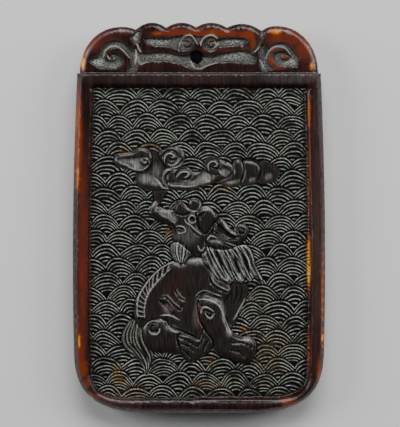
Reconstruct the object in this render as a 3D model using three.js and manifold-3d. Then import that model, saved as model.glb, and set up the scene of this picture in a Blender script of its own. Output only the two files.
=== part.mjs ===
import * as THREE from "three";
import { mergeVertices } from "three/addons/utils/BufferGeometryUtils.js";
import Module from "manifold-3d";

// A horn plaque, carved from one plate of horn and lying on its flat back.
// X runs across it, Y up to its crest and Z out of the carved face, with the origin at the
// middle of the back. All sizes are in millimetres.

// Driving sizes of the plate. Each draw-in is what a side lies in from the plate's widest place.
const plaqueWidth = 45.4;
const bodyHeight = 61.15;
const crestHeight = 9.15;
const crestDrawIn = 1.25;
const shoulderDrawIn = 0.75;
const footDrawIn = 0.2;
const cornerRise = 10.3;
const cornerRun = 13;
const bellyPlace = 0.45;
const plaqueThickness = 6.5;

// Rails and the sunken field between them.
const sideRail = 2.5;
const topRail = 2.45;
const bottomRail = 2.25;
const fieldAside = 0.2;
const fieldCorner = 5.0;
const fieldCornerRun = 6.7;
const fieldTopCorner = 0.8;
const fieldDepth = 1.5;
const fieldWall = 0.6;
const railCrown = 0.22;
const frontEdgeRun = 0.75;
const frontEdgeDrop = 0.65;
const backEdge = 0.6;

// Crest: its lobes meet in small notches, and a groove parts it from the top rail.
const crestNotches = [-11.43, -5.94, -0.54, 5.04, 11.34];
const notchDrops = [1.28, 0.92, 0.83, 0.92, 1.55];
const lobeRise = [1.1, 0.87, 0.87, 1.0];
const shoulderLobe = 2.5;
const shoulderDrops = [0.75, 0.6];
const shoulderRound = 0.62;
const notchRun = 0.9;
const crestSink = 0.2;
const crestGroundDepth = 0.78;
const crestGroundWall = 0.26;
const footGrooveDepth = 0.5;
const footGrooveWidth = 0.5;
const cordBore = 2.2;
const cordBoreBelowTop = 6.25;
const cordBoreAside = -0.45;
const cordBoreBevel = 0.35;

// Wave scales: rows of arcs, each row half a pitch aside and in front of the row above it.
const wavePitch = 5.18;
const waveRow = 2.58;
const waveRadius = 2.77;
const waveArcDrop = 0.675;
const waveArcShrink = 0.378;
const waveRise = 0.4;
const waveFromTop = 2.55;
const waveAside = 4.05;
const waveWander = 0.14;

// Beast and cloud: one size and one place each, and how high they stand over the field.
const beastHeight = 31.9;
const beastAside = -0.55;
const beastAboveFoot = 22.8;
const beastRise = 1.3;
const cloudLength = 29.6;
const cloudAside = -0.4;
const cloudBelowTop = 14.95;
const cloudRise = 1.05;
const figureWall = 0.28;
const figureEdge = 0.5;
const cutEndWidth = 0.55;

// How finely the carved face is cut into facets.
const faceBudget = 8900;
const edgeStep = 1.5;
const figureStep = 0.95;
const closestPoints = 0.16;
const waveCare = 0.1;
const cutStep = 0.8;

const crestWidth = plaqueWidth - 2 * crestDrawIn;
const shoulderWidth = plaqueWidth - 2 * shoulderDrawIn;
const footWidth = plaqueWidth - 2 * footDrawIn;
const top = (bodyHeight + crestHeight) / 2;
const foot = -top;
const crestFoot = foot + bodyHeight;
const faceHeight = plaqueThickness - railCrown;
const fieldFloor = faceHeight - fieldDepth;
const fieldTop = crestFoot - topRail;

// Small helpers for curves and distances in the plane of the plaque.
const mix = (a, b, share) => a + (b - a) * share;
const clamp = (value, low, high) => Math.min(Math.max(value, low), high);
const mirrorX = ([x, y]) => [-x, y];

function smooth(points, closed, step) {
  const knots = points.map(([x, y]) => new THREE.Vector3(x, y, 0));
  const curve = new THREE.CatmullRomCurve3(knots, closed, "centripetal");
  const count = Math.max(3, Math.round(curve.getLength() / step));
  const spread = curve.getSpacedPoints(count).map((p) => [p.x, p.y]);
  return closed ? spread.slice(0, -1) : spread;
}

function boxOf(points, margin) {
  const xs = points.map((p) => p[0]);
  const ys = points.map((p) => p[1]);
  return {
    left: Math.min(...xs) - margin,
    right: Math.max(...xs) + margin,
    low: Math.min(...ys) - margin,
    high: Math.max(...ys) + margin,
  };
}

const outOfBox = (box, x, y) => x < box.left || x > box.right || y < box.low || y > box.high;

// How far along a segment its nearest point lies, from 0 to 1.
function alongSegment(x, y, a, b) {
  const dx = b[0] - a[0];
  const dy = b[1] - a[1];
  return clamp(((x - a[0]) * dx + (y - a[1]) * dy) / (dx * dx + dy * dy), 0, 1);
}

// Square of the distance to a segment, at its nearest point.
function segmentGap(x, y, a, b, along) {
  const gapX = x - a[0] - along * (b[0] - a[0]);
  const gapY = y - a[1] - along * (b[1] - a[1]);
  return gapX * gapX + gapY * gapY;
}

// Distance to a closed outline, positive inside it.
function insideDistance(outline, x, y) {
  let inside = false;
  let nearest = Infinity;
  for (let i = 0, j = outline.length - 1; i < outline.length; j = i, i += 1) {
    const a = outline[j];
    const b = outline[i];
    nearest = Math.min(nearest, segmentGap(x, y, a, b, alongSegment(x, y, a, b)));
    const crosses = a[1] > y !== b[1] > y && x < mix(a[0], b[0], (y - a[1]) / (b[1] - a[1]));
    inside = crosses ? !inside : inside;
  }
  return inside ? Math.sqrt(nearest) : -Math.sqrt(nearest);
}

// Distance to an open line, and how far along it the nearest point lies, from 0 to 1.
function lineDistance(line, x, y) {
  let nearest = Infinity;
  let along = 0;
  for (let i = 1; i < line.length; i += 1) {
    const share = alongSegment(x, y, line[i - 1], line[i]);
    const gap = segmentGap(x, y, line[i - 1], line[i], share);
    if (gap < nearest) {
      nearest = gap;
      along = (i - 1 + share) / (line.length - 1);
    }
  }
  return { distance: Math.sqrt(nearest), along };
}

function bezier(a, b, c, d, count) {
  const curve = new THREE.CubicBezierCurve(...[a, b, c, d].map((p) => new THREE.Vector2(...p)));
  return curve.getSpacedPoints(count).map((p) => [p.x, p.y]);
}

function bow(a, b, c, count) {
  const curve = new THREE.QuadraticBezierCurve(...[a, b, c].map((p) => new THREE.Vector2(...p)));
  return curve.getSpacedPoints(count).map((p) => [p.x, p.y]);
}

// A side of the plate, bowed out a little between its shoulder and its bottom corner.
function sideLine(inset, fromY, toY, count) {
  const shoulder = shoulderWidth / 2 - inset;
  const low = footWidth / 2 - inset;
  const belly = 2 * (plaqueWidth / 2 - inset) - (shoulder + low) / 2;
  return bow([low, fromY], [belly, mix(fromY, toY, bellyPlace)], [shoulder, toY], count);
}

// Outline of the plate, anticlockwise from the middle of the bottom edge. Each bottom corner is
// one curve, with its two handles as shares of the corner's run and rise.
function plateOutline() {
  const cornerTop = foot + cornerRise;
  const cornerStart = plaqueWidth / 2 - cornerRun;
  const [lowHandle, highHandle] = [[0.3, 0.03], [0.02, 0.33]].map(([run, rise]) => [
    footWidth / 2 - run * cornerRun, foot + rise * cornerRise]);
  const cornerCurve = bezier([cornerStart, foot], lowHandle, highHandle, [footWidth / 2, cornerTop], 11);
  const side = sideLine(0, cornerTop, crestFoot, Math.round((crestFoot - cornerTop) / edgeStep));
  const right = [...cornerCurve, ...side.slice(1)];
  const bottom = bow([-cornerStart, foot], [0, foot], [cornerStart, foot], 12).slice(1, -1);
  return [...bottom, ...right, ...crestOutline(), ...right.map(mirrorX).reverse()];
}

// Crest from its right foot over the lobes to its left foot.
function crestOutline() {
  const half = crestWidth / 2;
  const notches = crestNotches.map((x, i) => [x, top - notchDrops[i]]);
  const last = notches.length - 1;
  const leftTop = [notches[0][0] - shoulderLobe, top - shoulderDrops[0]];
  const rightTop = [notches[last][0] + shoulderLobe, top - shoulderDrops[1]];
  const halfUp = (crestFoot + top) / 2;
  const points = bezier([half, crestFoot], [half, halfUp],
    [mix(rightTop[0], half, shoulderRound), rightTop[1]], rightTop, 11);
  points.push(...bow(rightTop, [notches[last][0] + notchRun, rightTop[1]], notches[last], 3).slice(1));
  for (let i = last; i > 0; i -= 1) {
    const a = notches[i];
    const b = notches[i - 1];
    const lift = [(a[0] + b[0]) / 2, (a[1] + b[1]) / 2 + 2 * lobeRise[i - 1]];
    points.push(...bow(a, lift, b, 6).slice(1));
  }
  points.push(...bow(notches[0], [notches[0][0] - notchRun, leftTop[1]], leftTop, 3).slice(1));
  points.push(...bezier(leftTop, [mix(leftTop[0], -half, shoulderRound), leftTop[1]],
    [-half, halfUp], [-half, crestFoot], 11).slice(1));
  return points;
}

// Outline of the sunken field, a rail's width in from the plate's edge.
function fieldOutline(step) {
  const low = foot + bottomRail;
  const cornerTop = low + fieldCorner;
  const side = sideLine(sideRail, cornerTop, fieldTop, Math.round((fieldTop - cornerTop) / step));
  const start = side[0][0] - fieldCornerRun;
  const bottom = bezier([start, low], [start + 0.6 * fieldCornerRun, low],
    [side[0][0], low + 0.35 * fieldCorner], side[0], 7);
  const last = side.pop();
  const shoulder = bow([last[0], last[1] - fieldTopCorner], last, [last[0] - fieldTopCorner, last[1]], 2);
  const right = [...bottom, ...side.slice(1), ...shoulder];
  const across = right[right.length - 1][0];
  const lowEdge = bow([-start, low], [0, low], [start, low], Math.round((2 * start) / step)).slice(1, -1);
  const highEdge = bow([across, fieldTop], [0, fieldTop], [-across, fieldTop],
    Math.round((2 * across) / step)).slice(1, -1);
  const outline = [...lowEdge, ...right, ...highEdge, ...right.map(mirrorX).reverse()];
  return outline.map(([x, y]) => [x + fieldAside, y]);
}

const plateEdge = plateOutline();
const fieldEdge = fieldOutline(edgeStep);

// Motifs are drawn on squared paper, x to the right and y down, and then placed at their size.
const drawnBeastHeight = 177;
const drawnCloudLength = 164.5;
const drawnCrest = { width: 238.5, height: 50.8, middle: 198.25, foot: 73.3 };
const beastPaper = {
  middle: [196, 286.5],
  across: beastHeight / drawnBeastHeight,
  up: beastHeight / drawnBeastHeight,
  at: [beastAside, foot + beastAboveFoot],
};
const cloudPaper = {
  middle: [197, 170],
  across: cloudLength / drawnCloudLength,
  up: cloudLength / drawnCloudLength,
  at: [cloudAside, fieldTop - cloudBelowTop],
};
const crestPaper = {
  middle: [drawnCrest.middle, drawnCrest.foot],
  across: crestWidth / drawnCrest.width,
  up: crestHeight / drawnCrest.height,
  at: [0, crestFoot],
};

const place = (paper) => ([x, y]) => [
  paper.at[0] + (x - paper.middle[0]) * paper.across,
  paper.at[1] - (y - paper.middle[1]) * paper.up,
];

// A raised form: its outline, how high it stands and how wide its rounded edge is.
function form(paper, rise, round, points) {
  const edge = smooth(points.map(place(paper)), true, figureStep);
  return { edge, rise, round, box: boxOf(edge, figureWall) };
}

// A cut of a graver, tapering from its middle to both ends.
function stroke(paper, depth, width, points) {
  const line = smooth(points.map(place(paper)), false, figureStep / 2);
  return { line, depth, width, box: boxOf(line, width) };
}

function spiral(paper, depth, width, middle, outer, inner, start, turns) {
  const points = [];
  const steps = Math.round(Math.abs(turns) * 10);
  for (let i = 0; i <= steps; i += 1) {
    const angle = start + (i / steps) * turns * 2 * Math.PI;
    const radius = mix(outer, inner, i / steps);
    points.push([middle[0] + radius * Math.cos(angle), middle[1] + radius * Math.sin(angle)]);
  }
  return stroke(paper, depth, width, points);
}

// Strands between two lines of the drawing, as cuts side by side.
function strands(paper, depth, width, left, right, count) {
  const cuts = [];
  for (let i = 1; i <= count; i += 1) {
    const share = i / (count + 1);
    const points = left.map((p, k) => [mix(p[0], right[k][0], share), mix(p[1], right[k][1], share)]);
    cuts.push(stroke(paper, depth, width, points));
  }
  return cuts;
}

// The beast, seated and looking back over its shoulder, from its far parts to its near ones.
function beastForms() {
  const make = (share, round, points) => form(beastPaper, share * beastRise, round, points);
  const tail = make(0.62, 0.8, [[132, 320], [124, 330], [122, 339], [125, 347], [136, 356], [144, 366],
    [146.5, 375], [150, 367], [153, 354], [148, 343], [144, 330], [140, 320]]);
  const farLeg = make(0.6, 0.5, [[222, 290], [236, 285], [246, 287], [247, 296], [239, 312],
    [233, 328], [226, 326], [222, 308]]);
  const beard = make(0.72, 0.6, [[172, 244], [171, 252], [176, 262], [181, 268], [187, 258],
    [193, 250], [190, 241]]);
  const torso = make(0.85, 1.5, [[136, 321], [135, 309], [138, 297], [144, 287], [152, 277],
    [162, 268.5], [174, 262], [183, 264], [190, 259.5], [206, 259], [216, 272], [229, 284], [231, 292],
    [222, 303], [208, 318], [204, 338], [186, 344], [160, 340], [143, 330]]);
  const mane = make(0.9, 0.7, [[203, 246], [214, 249], [226, 249], [246, 246], [252, 254], [255, 271],
    [261, 280], [252, 278], [243, 283], [229, 284], [218, 279], [210, 270], [203, 261]]);
  const haunch = make(1, 1.3, [[143.5, 330], [147, 323], [154, 319.5], [161, 319], [168, 325],
    [186, 333], [196, 338], [194, 347], [184, 353], [168, 352], [153, 350.5], [145, 342]]);
  const hindFoot = make(0.85, 0.5, [[178, 335], [190, 336], [199, 339.5], [203.5, 330], [213, 341],
    [211, 349], [200, 357], [190, 362], [184, 357], [180, 349]]);
  const foreLeg = make(1, 0.9, [[198, 302], [203, 294], [214, 295.5], [222, 301], [225, 319], [231, 332],
    [240, 337.5], [251, 338], [255.5, 345], [252, 358], [244, 363], [230, 358], [216, 352], [213, 341],
    [206, 331], [200, 320]]);
  const head = make(0.92, 0.8, [[149.5, 213], [157, 207.5], [165, 209.5], [175, 212], [190, 210],
    [204, 212], [216, 217], [214, 230], [207, 238], [206, 250], [198, 255], [188, 250], [180, 243],
    [174.5, 240], [174, 231], [168, 223.5], [156, 218.5]]);
  const brow = make(1, 0.5, [[175, 212], [176.5, 204], [180, 201.5], [185, 206], [191, 211],
    [184, 215]]);
  const forehead = make(1.05, 0.7, [[196, 213], [202, 208.5], [208, 207.5], [214, 213], [217, 217],
    [212, 226], [205, 234], [199, 225]]);
  const pearl = make(0.85, 0.6, [[189.5, 204], [191, 199.5], [196, 199], [200.5, 202], [200, 208],
    [195, 210.5], [191, 208.5]]);
  const lowEar = make(0.85, 0.4, [[206, 241], [209.5, 234.5], [217, 236.5], [229, 243], [236, 245.5],
    [226, 249.5], [213, 248], [208, 245]]);
  const ear = make(1.05, 0.5, [[221, 219], [227, 226], [232, 231.5], [239, 227.5], [244, 225],
    [248, 231], [244, 239], [236, 244], [226, 241.5], [217, 237], [212.5, 232], [214, 226]]);
  return [tail, farLeg, beard, torso, mane, haunch, hindFoot, foreLeg, head, forehead, brow, pearl,
    lowEar, ear];
}

// The cuts on the beast: spine, flame curls, haunch curl, strands of hair, toes and features.
function beastCuts() {
  const cut = (depth, width, points) => stroke(beastPaper, depth, width, points);
  const spineInner = [[172, 268.5], [160, 279], [151, 289.5], [145.5, 302], [144.5, 318]];
  const spineOuter = [[174, 262], [160, 271], [146, 284], [138, 297], [135.5, 318]];
  const cuts = [cut(0.35, 0.3, spineInner)];
  const inner = smooth(spineInner, false, 5.6);
  const outer = smooth(spineOuter, false, 5.6);
  const notches = Math.min(inner.length, outer.length) - 1;
  for (let i = 1; i < notches; i += 1) {
    cuts.push(cut(0.3, 0.26, [outer[i], inner[i]]));
  }
  const flames = [
    [[176, 290], [179, 296], [184.5, 301]],
    [[161, 298], [167, 299], [172, 306], [181, 311]],
    [[160, 303], [168, 311], [178, 319]],
    [[159, 318], [166, 321], [172, 329], [186, 333.5], [196, 338]],
    [[210, 278], [212, 284], [218, 289], [228, 294]],
    [[197, 298], [203, 293.5], [213, 296], [220, 298.5]],
  ];
  flames.forEach((points) => cuts.push(cut(0.4, 0.42, points)));
  cuts.push(spiral(beastPaper, 0.35, 0.3, [154, 328], 8, 2.5, Math.PI, 1.4));
  cuts.push(spiral(beastPaper, 0.3, 0.3, [208, 313], 7, 3.5, 2.6, 0.9));
  cuts.push(...strands(beastPaper, 0.3, 0.28, [[131, 322], [124, 338], [138, 356], [145, 371]],
    [[143, 326], [146, 343], [152, 355], [149, 368]], 5));
  cuts.push(...strands(beastPaper, 0.32, 0.3, [[206, 250], [207, 262], [219, 280]],
    [[246, 248], [252, 258], [253, 276]], 7));
  cuts.push(...strands(beastPaper, 0.28, 0.26, [[173, 243], [172, 252], [180, 266]],
    [[190, 244], [188, 255], [182, 266]], 3));
  const toes = [
    [[235, 343], [246, 344], [252, 347.5]],
    [[230, 350.5], [240, 353], [245, 357.5]],
    [[178, 336], [187, 341], [197, 347]],
    [[181, 347], [187, 350], [192, 356]],
    [[206, 337], [203, 343], [199, 349]],
    [[213, 342], [208, 347], [204.5, 353]],
    [[245, 299], [240, 309], [233.5, 319]],
  ];
  toes.forEach((points) => cuts.push(cut(0.3, 0.3, points)));
  cuts.push(spiral(beastPaper, 0.35, 0.3, [192, 219.5], 4.2, 4.2, 0, 0.95));
  cuts.push(cut(0.3, 0.3, [[175, 228], [181, 227], [186, 230], [180, 233.5]]));
  cuts.push(cut(0.3, 0.3, [[191, 226], [195, 230], [201, 235]]));
  cuts.push(cut(0.3, 0.3, [[152, 212.5], [158, 212], [163, 214]]));
  cuts.push(spiral(beastPaper, 0.35, 0.35, [241, 231], 5, 1.5, 2.6, 1.1));
  cuts.push(cut(0.3, 0.35, [[211, 240], [219, 240.5], [228, 245]]));
  return cuts;
}

// The cloud's lobes, ribs and stem.
function cloudForms() {
  const make = (share, round, points) => form(cloudPaper, share * cloudRise, round, points);
  const stem = make(0.75, 0.6, [[150, 186], [153, 193], [154.5, 201], [149.5, 209], [158, 206],
    [163, 198], [168, 186]]);
  const shoulder = make(0.85, 1.2, [[150, 153], [159, 155], [165, 166], [167, 174], [165, 183],
    [169.5, 189], [158, 191], [145, 190], [140, 188], [137, 181], [136.5, 175], [144, 170]]);
  const leftLobe = make(1, 0.8, [[114.5, 162], [117, 156], [121, 154.5], [132, 153], [140, 149],
    [146, 149.5], [151, 154], [152.5, 163], [150, 171], [143, 174], [129, 169.5], [118, 167]]);
  const topCurl = make(1, 0.9, [[159, 154], [165, 150.5], [172, 148], [180, 150.5], [184.5, 157],
    [182, 164], [175, 170], [167, 168], [161, 161]]);
  const ribs = [
    make(0.8, 0.7, [[259, 164], [273, 165.5], [279.5, 174], [274, 182], [262, 183.5], [256, 182]]),
    make(0.9, 0.7, [[243, 163], [250, 161.5], [259.5, 166], [261.5, 172], [257, 182], [247, 185.5],
      [239, 184]]),
    make(0.95, 0.7, [[232, 166], [236, 161.5], [240, 161], [244, 167], [244, 177], [240, 185],
      [231, 187], [222, 185], [216, 181]]),
  ];
  const armCurl = make(1, 0.8, [[205, 172], [206.5, 162], [210, 159], [216, 159.5], [225, 162.5],
    [233, 167.5], [234, 173], [226, 179], [212, 183.5], [203, 180]]);
  const lowLobe = make(1, 0.8, [[166.5, 171], [175, 170.5], [186, 168], [191, 172], [198, 173.5],
    [206, 172], [212, 178], [211, 183.5], [202, 187], [190, 190], [178, 190], [169, 188.5],
    [164, 181]]);
  return [stem, shoulder, ...ribs, armCurl, topCurl, leftLobe, lowLobe];
}

// Scooped hollows and spirals in the cloud's lobes.
function cloudCuts() {
  const cut = (depth, width, points) => stroke(cloudPaper, depth, width, points);
  return [
    cut(0.5, 0.62, [[120, 161], [128, 164], [138, 166.5]]),
    spiral(cloudPaper, 0.32, 0.32, [145, 164], 7, 2, -2.6, 1.3),
    cut(0.4, 0.4, [[168, 163.5], [173, 164], [180, 159]]),
    spiral(cloudPaper, 0.3, 0.32, [172.5, 158], 7, 2.5, 2.6, 1.2),
    cut(0.5, 0.62, [[175, 184.5], [188, 184.5], [200, 178.5]]),
    spiral(cloudPaper, 0.32, 0.32, [184, 176.5], 6.5, 2, 1.2, 1.3),
    spiral(cloudPaper, 0.3, 0.32, [213.5, 168.5], 6, 2, 2, 1.3),
    cut(0.4, 0.5, [[222, 168], [227, 171], [226, 175]]),
    cut(0.3, 0.3, [[155, 156], [160, 167], [159, 180]]),
  ];
}

// Grounds of the crest, cut away round its raised bands: three at the left scroll, those of the
// middle panel with its two curls, and three at the right scroll.
function crestGrounds() {
  const outlines = [
    [[89, 61], [91.5, 58], [96, 57.5], [99, 52], [103, 46], [108, 42], [115, 40.5], [122, 42], [128, 47],
      [132, 54], [133.5, 62], [132, 70], [128, 70.5], [124, 69.5], [116, 68.5], [104, 68.5], [97, 67.5],
      [93, 64.5]],
    [[130, 38], [133, 34], [136, 31], [139.7, 31], [138.5, 38], [137, 44], [133.5, 42.5]],
    [[128.5, 57], [131.5, 50], [134.5, 46], [138, 52], [140.5, 54], [137.5, 60], [136, 68], [134, 72.5],
      [130, 72.5], [129, 66]],
    [[141, 52.5], [148, 53], [155, 52], [168, 52.5], [178, 55], [190, 56], [194, 60], [196, 69], [188, 67],
      [178, 63.5], [168, 61.2], [155, 61], [146, 62], [141, 64.5], [137.5, 63], [138, 56]],
    [[203, 56], [212, 56], [222, 53.5], [232, 51.5], [241, 50.3], [249, 51.5], [252.5, 54], [255, 57],
      [254.5, 62], [250, 63.5], [235, 62], [218, 62.5], [208, 65], [198, 69.5], [199, 62]],
    [[143, 38.5], [152, 38], [165, 38.5], [176, 36], [182, 35.5], [180.5, 41], [178.5, 46], [180, 49.5],
      [176, 49], [165, 46.3], [155, 45.5], [148, 43.8]],
    [[218, 40.5], [224, 38.5], [236, 38], [244, 38.5], [247, 41], [243, 44.5], [232, 45.5], [222, 46.5],
      [217.5, 45.5]],
    [[178.5, 46], [180, 41], [182.5, 42], [187.5, 44.5], [192, 44.8], [191, 48.5], [186, 50.3], [180.5, 50]],
    [[203, 46.5], [206, 43.5], [210, 46], [214, 43.5], [218.5, 41.5], [217.5, 46], [213, 50],
      [208, 50.5], [204, 48.7]],
    [[192.5, 35.5], [197, 36], [202, 36.5], [199, 40.5], [197, 44.5], [195, 40.5]],
    [[261, 31], [265, 31.5], [262.5, 37], [260.5, 43], [257.5, 47], [252.5, 53], [250.5, 51.5], [255, 46],
      [258.5, 40], [259.5, 35]],
    [[258.5, 47], [262, 44], [264.5, 50], [264, 58], [265, 66], [268, 71], [262, 71.5], [259.5, 64],
      [259, 56]],
    [[263, 60], [264.5, 54], [267, 48.5], [271, 45], [276, 43], [283, 42.5], [288, 45], [292, 49], [295.5, 54],
      [298.5, 57.3], [296.5, 61.5], [296, 66.3], [289, 66.3], [282, 65.5], [276, 68], [267, 70]],
  ];
  return outlines.map((points) => {
    const edge = smooth(points.map(place(crestPaper)), true, figureStep);
    if (THREE.ShapeUtils.isClockWise(edge.map(([x, y]) => new THREE.Vector2(x, y)))) {
      edge.reverse();
    }
    return { edge, box: boxOf(edge, crestGroundWall) };
  });
}

// Bands left standing in the grounds: the two scrolls with their knobs, and the tips of the two
// curls. Each is a line of the drawing with its widths along it.
function crestBands() {
  const bands = [
    [[7, 8, 8.5, 9, 8, 6.5, 5.5, 4.5, 4, 4.5], [[112, 73], [121, 69.5], [126, 64], [125.5, 58], [121, 53],
      [115, 50.2], [109, 51.8], [106, 55.5], [107.5, 58.5], [111, 57.5]]],
    [[7, 6, 5.2, 5.5, 5.5, 5.5, 5, 4.6, 3.6, 1.5], [[300, 70.5], [290, 69.5], [280, 68.6], [273.5, 66],
      [270, 61], [270.5, 55], [275, 50.5], [281, 49.3], [286, 51.5], [289, 55]]],
    [[3, 5.5, 4], [[281.5, 57.2], [284.5, 57.3], [286.5, 57]]],
    [[6.5, 6.5], [[186, 42], [189, 40.5]]],
    [[6.5, 6], [[207, 41], [211, 40.5]]],
  ];
  return bands.map(([widths, points]) => {
    const line = smooth(points.map(place(crestPaper)), false, figureStep / 2);
    const halves = widths.map((width) => (width * crestPaper.across) / 2);
    return { line, halves, box: boxOf(line, Math.max(...halves) + crestGroundWall) };
  });
}

const grounds = crestGrounds();
const bands = crestBands();

function halfAt(halves, along) {
  const at = along * (halves.length - 1);
  const i = Math.min(Math.floor(at), halves.length - 2);
  return mix(halves[i], halves[i + 1], at - i);
}

// How far the crest is cut away at a point, from 0 on its bands to 1 on the floor of its grounds.
function groundShare(x, y) {
  let share = 0;
  grounds.forEach((one) => {
    if (!outOfBox(one.box, x, y)) {
      share = Math.max(share, clamp(insideDistance(one.edge, x, y) / crestGroundWall + 0.5, 0, 1));
    }
  });
  bands.forEach((one) => {
    if (share > 0 && !outOfBox(one.box, x, y)) {
      const { distance, along } = lineDistance(one.line, x, y);
      share = Math.min(share, clamp((distance - halfAt(one.halves, along)) / crestGroundWall + 0.5, 0, 1));
    }
  });
  return share;
}

const forms = [...cloudForms(), ...beastForms()];
const cuts = [...cloudCuts(), ...beastCuts()];

// True where the field is bare of the cloud and the beast, and of the slope round its edge.
function onWaves(x, y) {
  return insideDistance(fieldEdge, x, y) > fieldWall
    && forms.every((one) => outOfBox(one.box, x, y) || insideDistance(one.edge, x, y) < -figureWall);
}

// Wave scales. A point belongs to the lowest row whose scale covers it, and its place among
// that scale's arcs is a number that is whole on each arc.
function wander(x, y) {
  return [
    waveWander * (Math.sin(0.9 * y + 0.31 * x) + Math.sin(0.53 * x - 0.4 * y + 1.7)),
    waveWander * (Math.sin(0.8 * x + 0.27 * y + 0.6) + Math.sin(0.47 * y - 0.62 * x + 2.9)),
  ];
}

function arcPlace(dx, below) {
  const lean = 2 * (waveArcDrop - waveArcShrink);
  const a = waveArcShrink ** 2 - (lean / 2) ** 2;
  const b = 2 * waveRadius * waveArcShrink - lean * (below - waveRadius);
  const c = waveRadius ** 2 - dx ** 2 - (below - waveRadius) ** 2;
  return (b - Math.sqrt(Math.max(b * b - 4 * a * c, 0))) / (2 * a);
}

function waveScale(x, y) {
  const [wx, wy] = wander(x, y);
  const down = fieldTop - waveFromTop - (y + wy);
  const nearest = Math.floor(down / waveRow);
  for (let row = nearest; row > nearest - 3; row -= 1) {
    const shift = waveAside + (row % 2 === 0 ? 0 : wavePitch / 2);
    const column = Math.round((x + wx - shift) / wavePitch);
    const dx = x + wx - shift - column * wavePitch;
    const below = down - row * waveRow;
    if (dx * dx + (below - waveRadius) ** 2 <= waveRadius ** 2 || below > waveRadius) {
      return { row, column, arc: arcPlace(dx, below) };
    }
  }
  return { row: nearest, column: 0, arc: 5 };
}

// Each scale has a raised lip, a hollow below it and a low swell in its middle.
const lipArcs = [0, 0.85, 2.3];
const lipHeights = [1, 0, 0.5];
const lipSteps = [6, 6, 3];
const lipTurn = 1.15;
const lipProbe = 0.04;

function waveHeight(x, y) {
  const { arc } = waveScale(x, y);
  const last = lipArcs.length - 1;
  if (arc >= lipArcs[last]) {
    return waveRise * lipHeights[last];
  }
  const i = lipArcs.findIndex((value) => value > Math.max(arc, 0)) - 1;
  return waveRise * mix(lipHeights[i], lipHeights[i + 1], (arc - lipArcs[i]) / (lipArcs[i + 1] - lipArcs[i]));
}

// Height of the carved face over the back.
function carvedHeight(x, y) {
  const into = insideDistance(fieldEdge, x, y);
  const rim = into > 0 ? into + bottomRail : Math.max(insideDistance(plateEdge, x, y), 0);
  const rounding = clamp(rim / frontEdgeRun, 0, 1);
  let z = faceHeight - frontEdgeDrop * (1 - Math.sqrt(1 - (1 - rounding) ** 2));
  if (into >= 0) {
    const ground = fieldFloor + waveHeight(x, y);
    z = mix(faceHeight, ground, clamp(into / fieldWall, 0, 1));
    forms.forEach((one) => {
      if (outOfBox(one.box, x, y)) {
        return;
      }
      const depth = insideDistance(one.edge, x, y);
      const edge = fieldFloor + figureEdge * one.rise;
      if (depth >= 0) {
        const share = clamp(depth / one.round, 0, 1);
        z = mix(edge, fieldFloor + one.rise, Math.sqrt(1 - (1 - share) ** 2));
      } else if (depth > -figureWall) {
        z = mix(edge, z, -depth / figureWall);
      }
    });
  } else if (y < crestFoot) {
    const across = clamp(rim / (rim - into), 0, 1);
    z += railCrown * 4 * across * (1 - across);
  } else {
    z -= (crestSink + crestGroundDepth * groundShare(x, y)) * rounding;
  }
  const step = Math.abs(y - crestFoot) / footGrooveWidth;
  z -= footGrooveDepth * Math.max(1 - step, 0);
  cuts.forEach((one) => {
    if (outOfBox(one.box, x, y)) {
      return;
    }
    const { distance, along } = lineDistance(one.line, x, y);
    const halfWidth = one.width * mix(cutEndWidth, 1, Math.sin(Math.PI * along));
    z -= one.depth * Math.max(1 - distance / halfWidth, 0);
  });
  return z;
}

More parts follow.
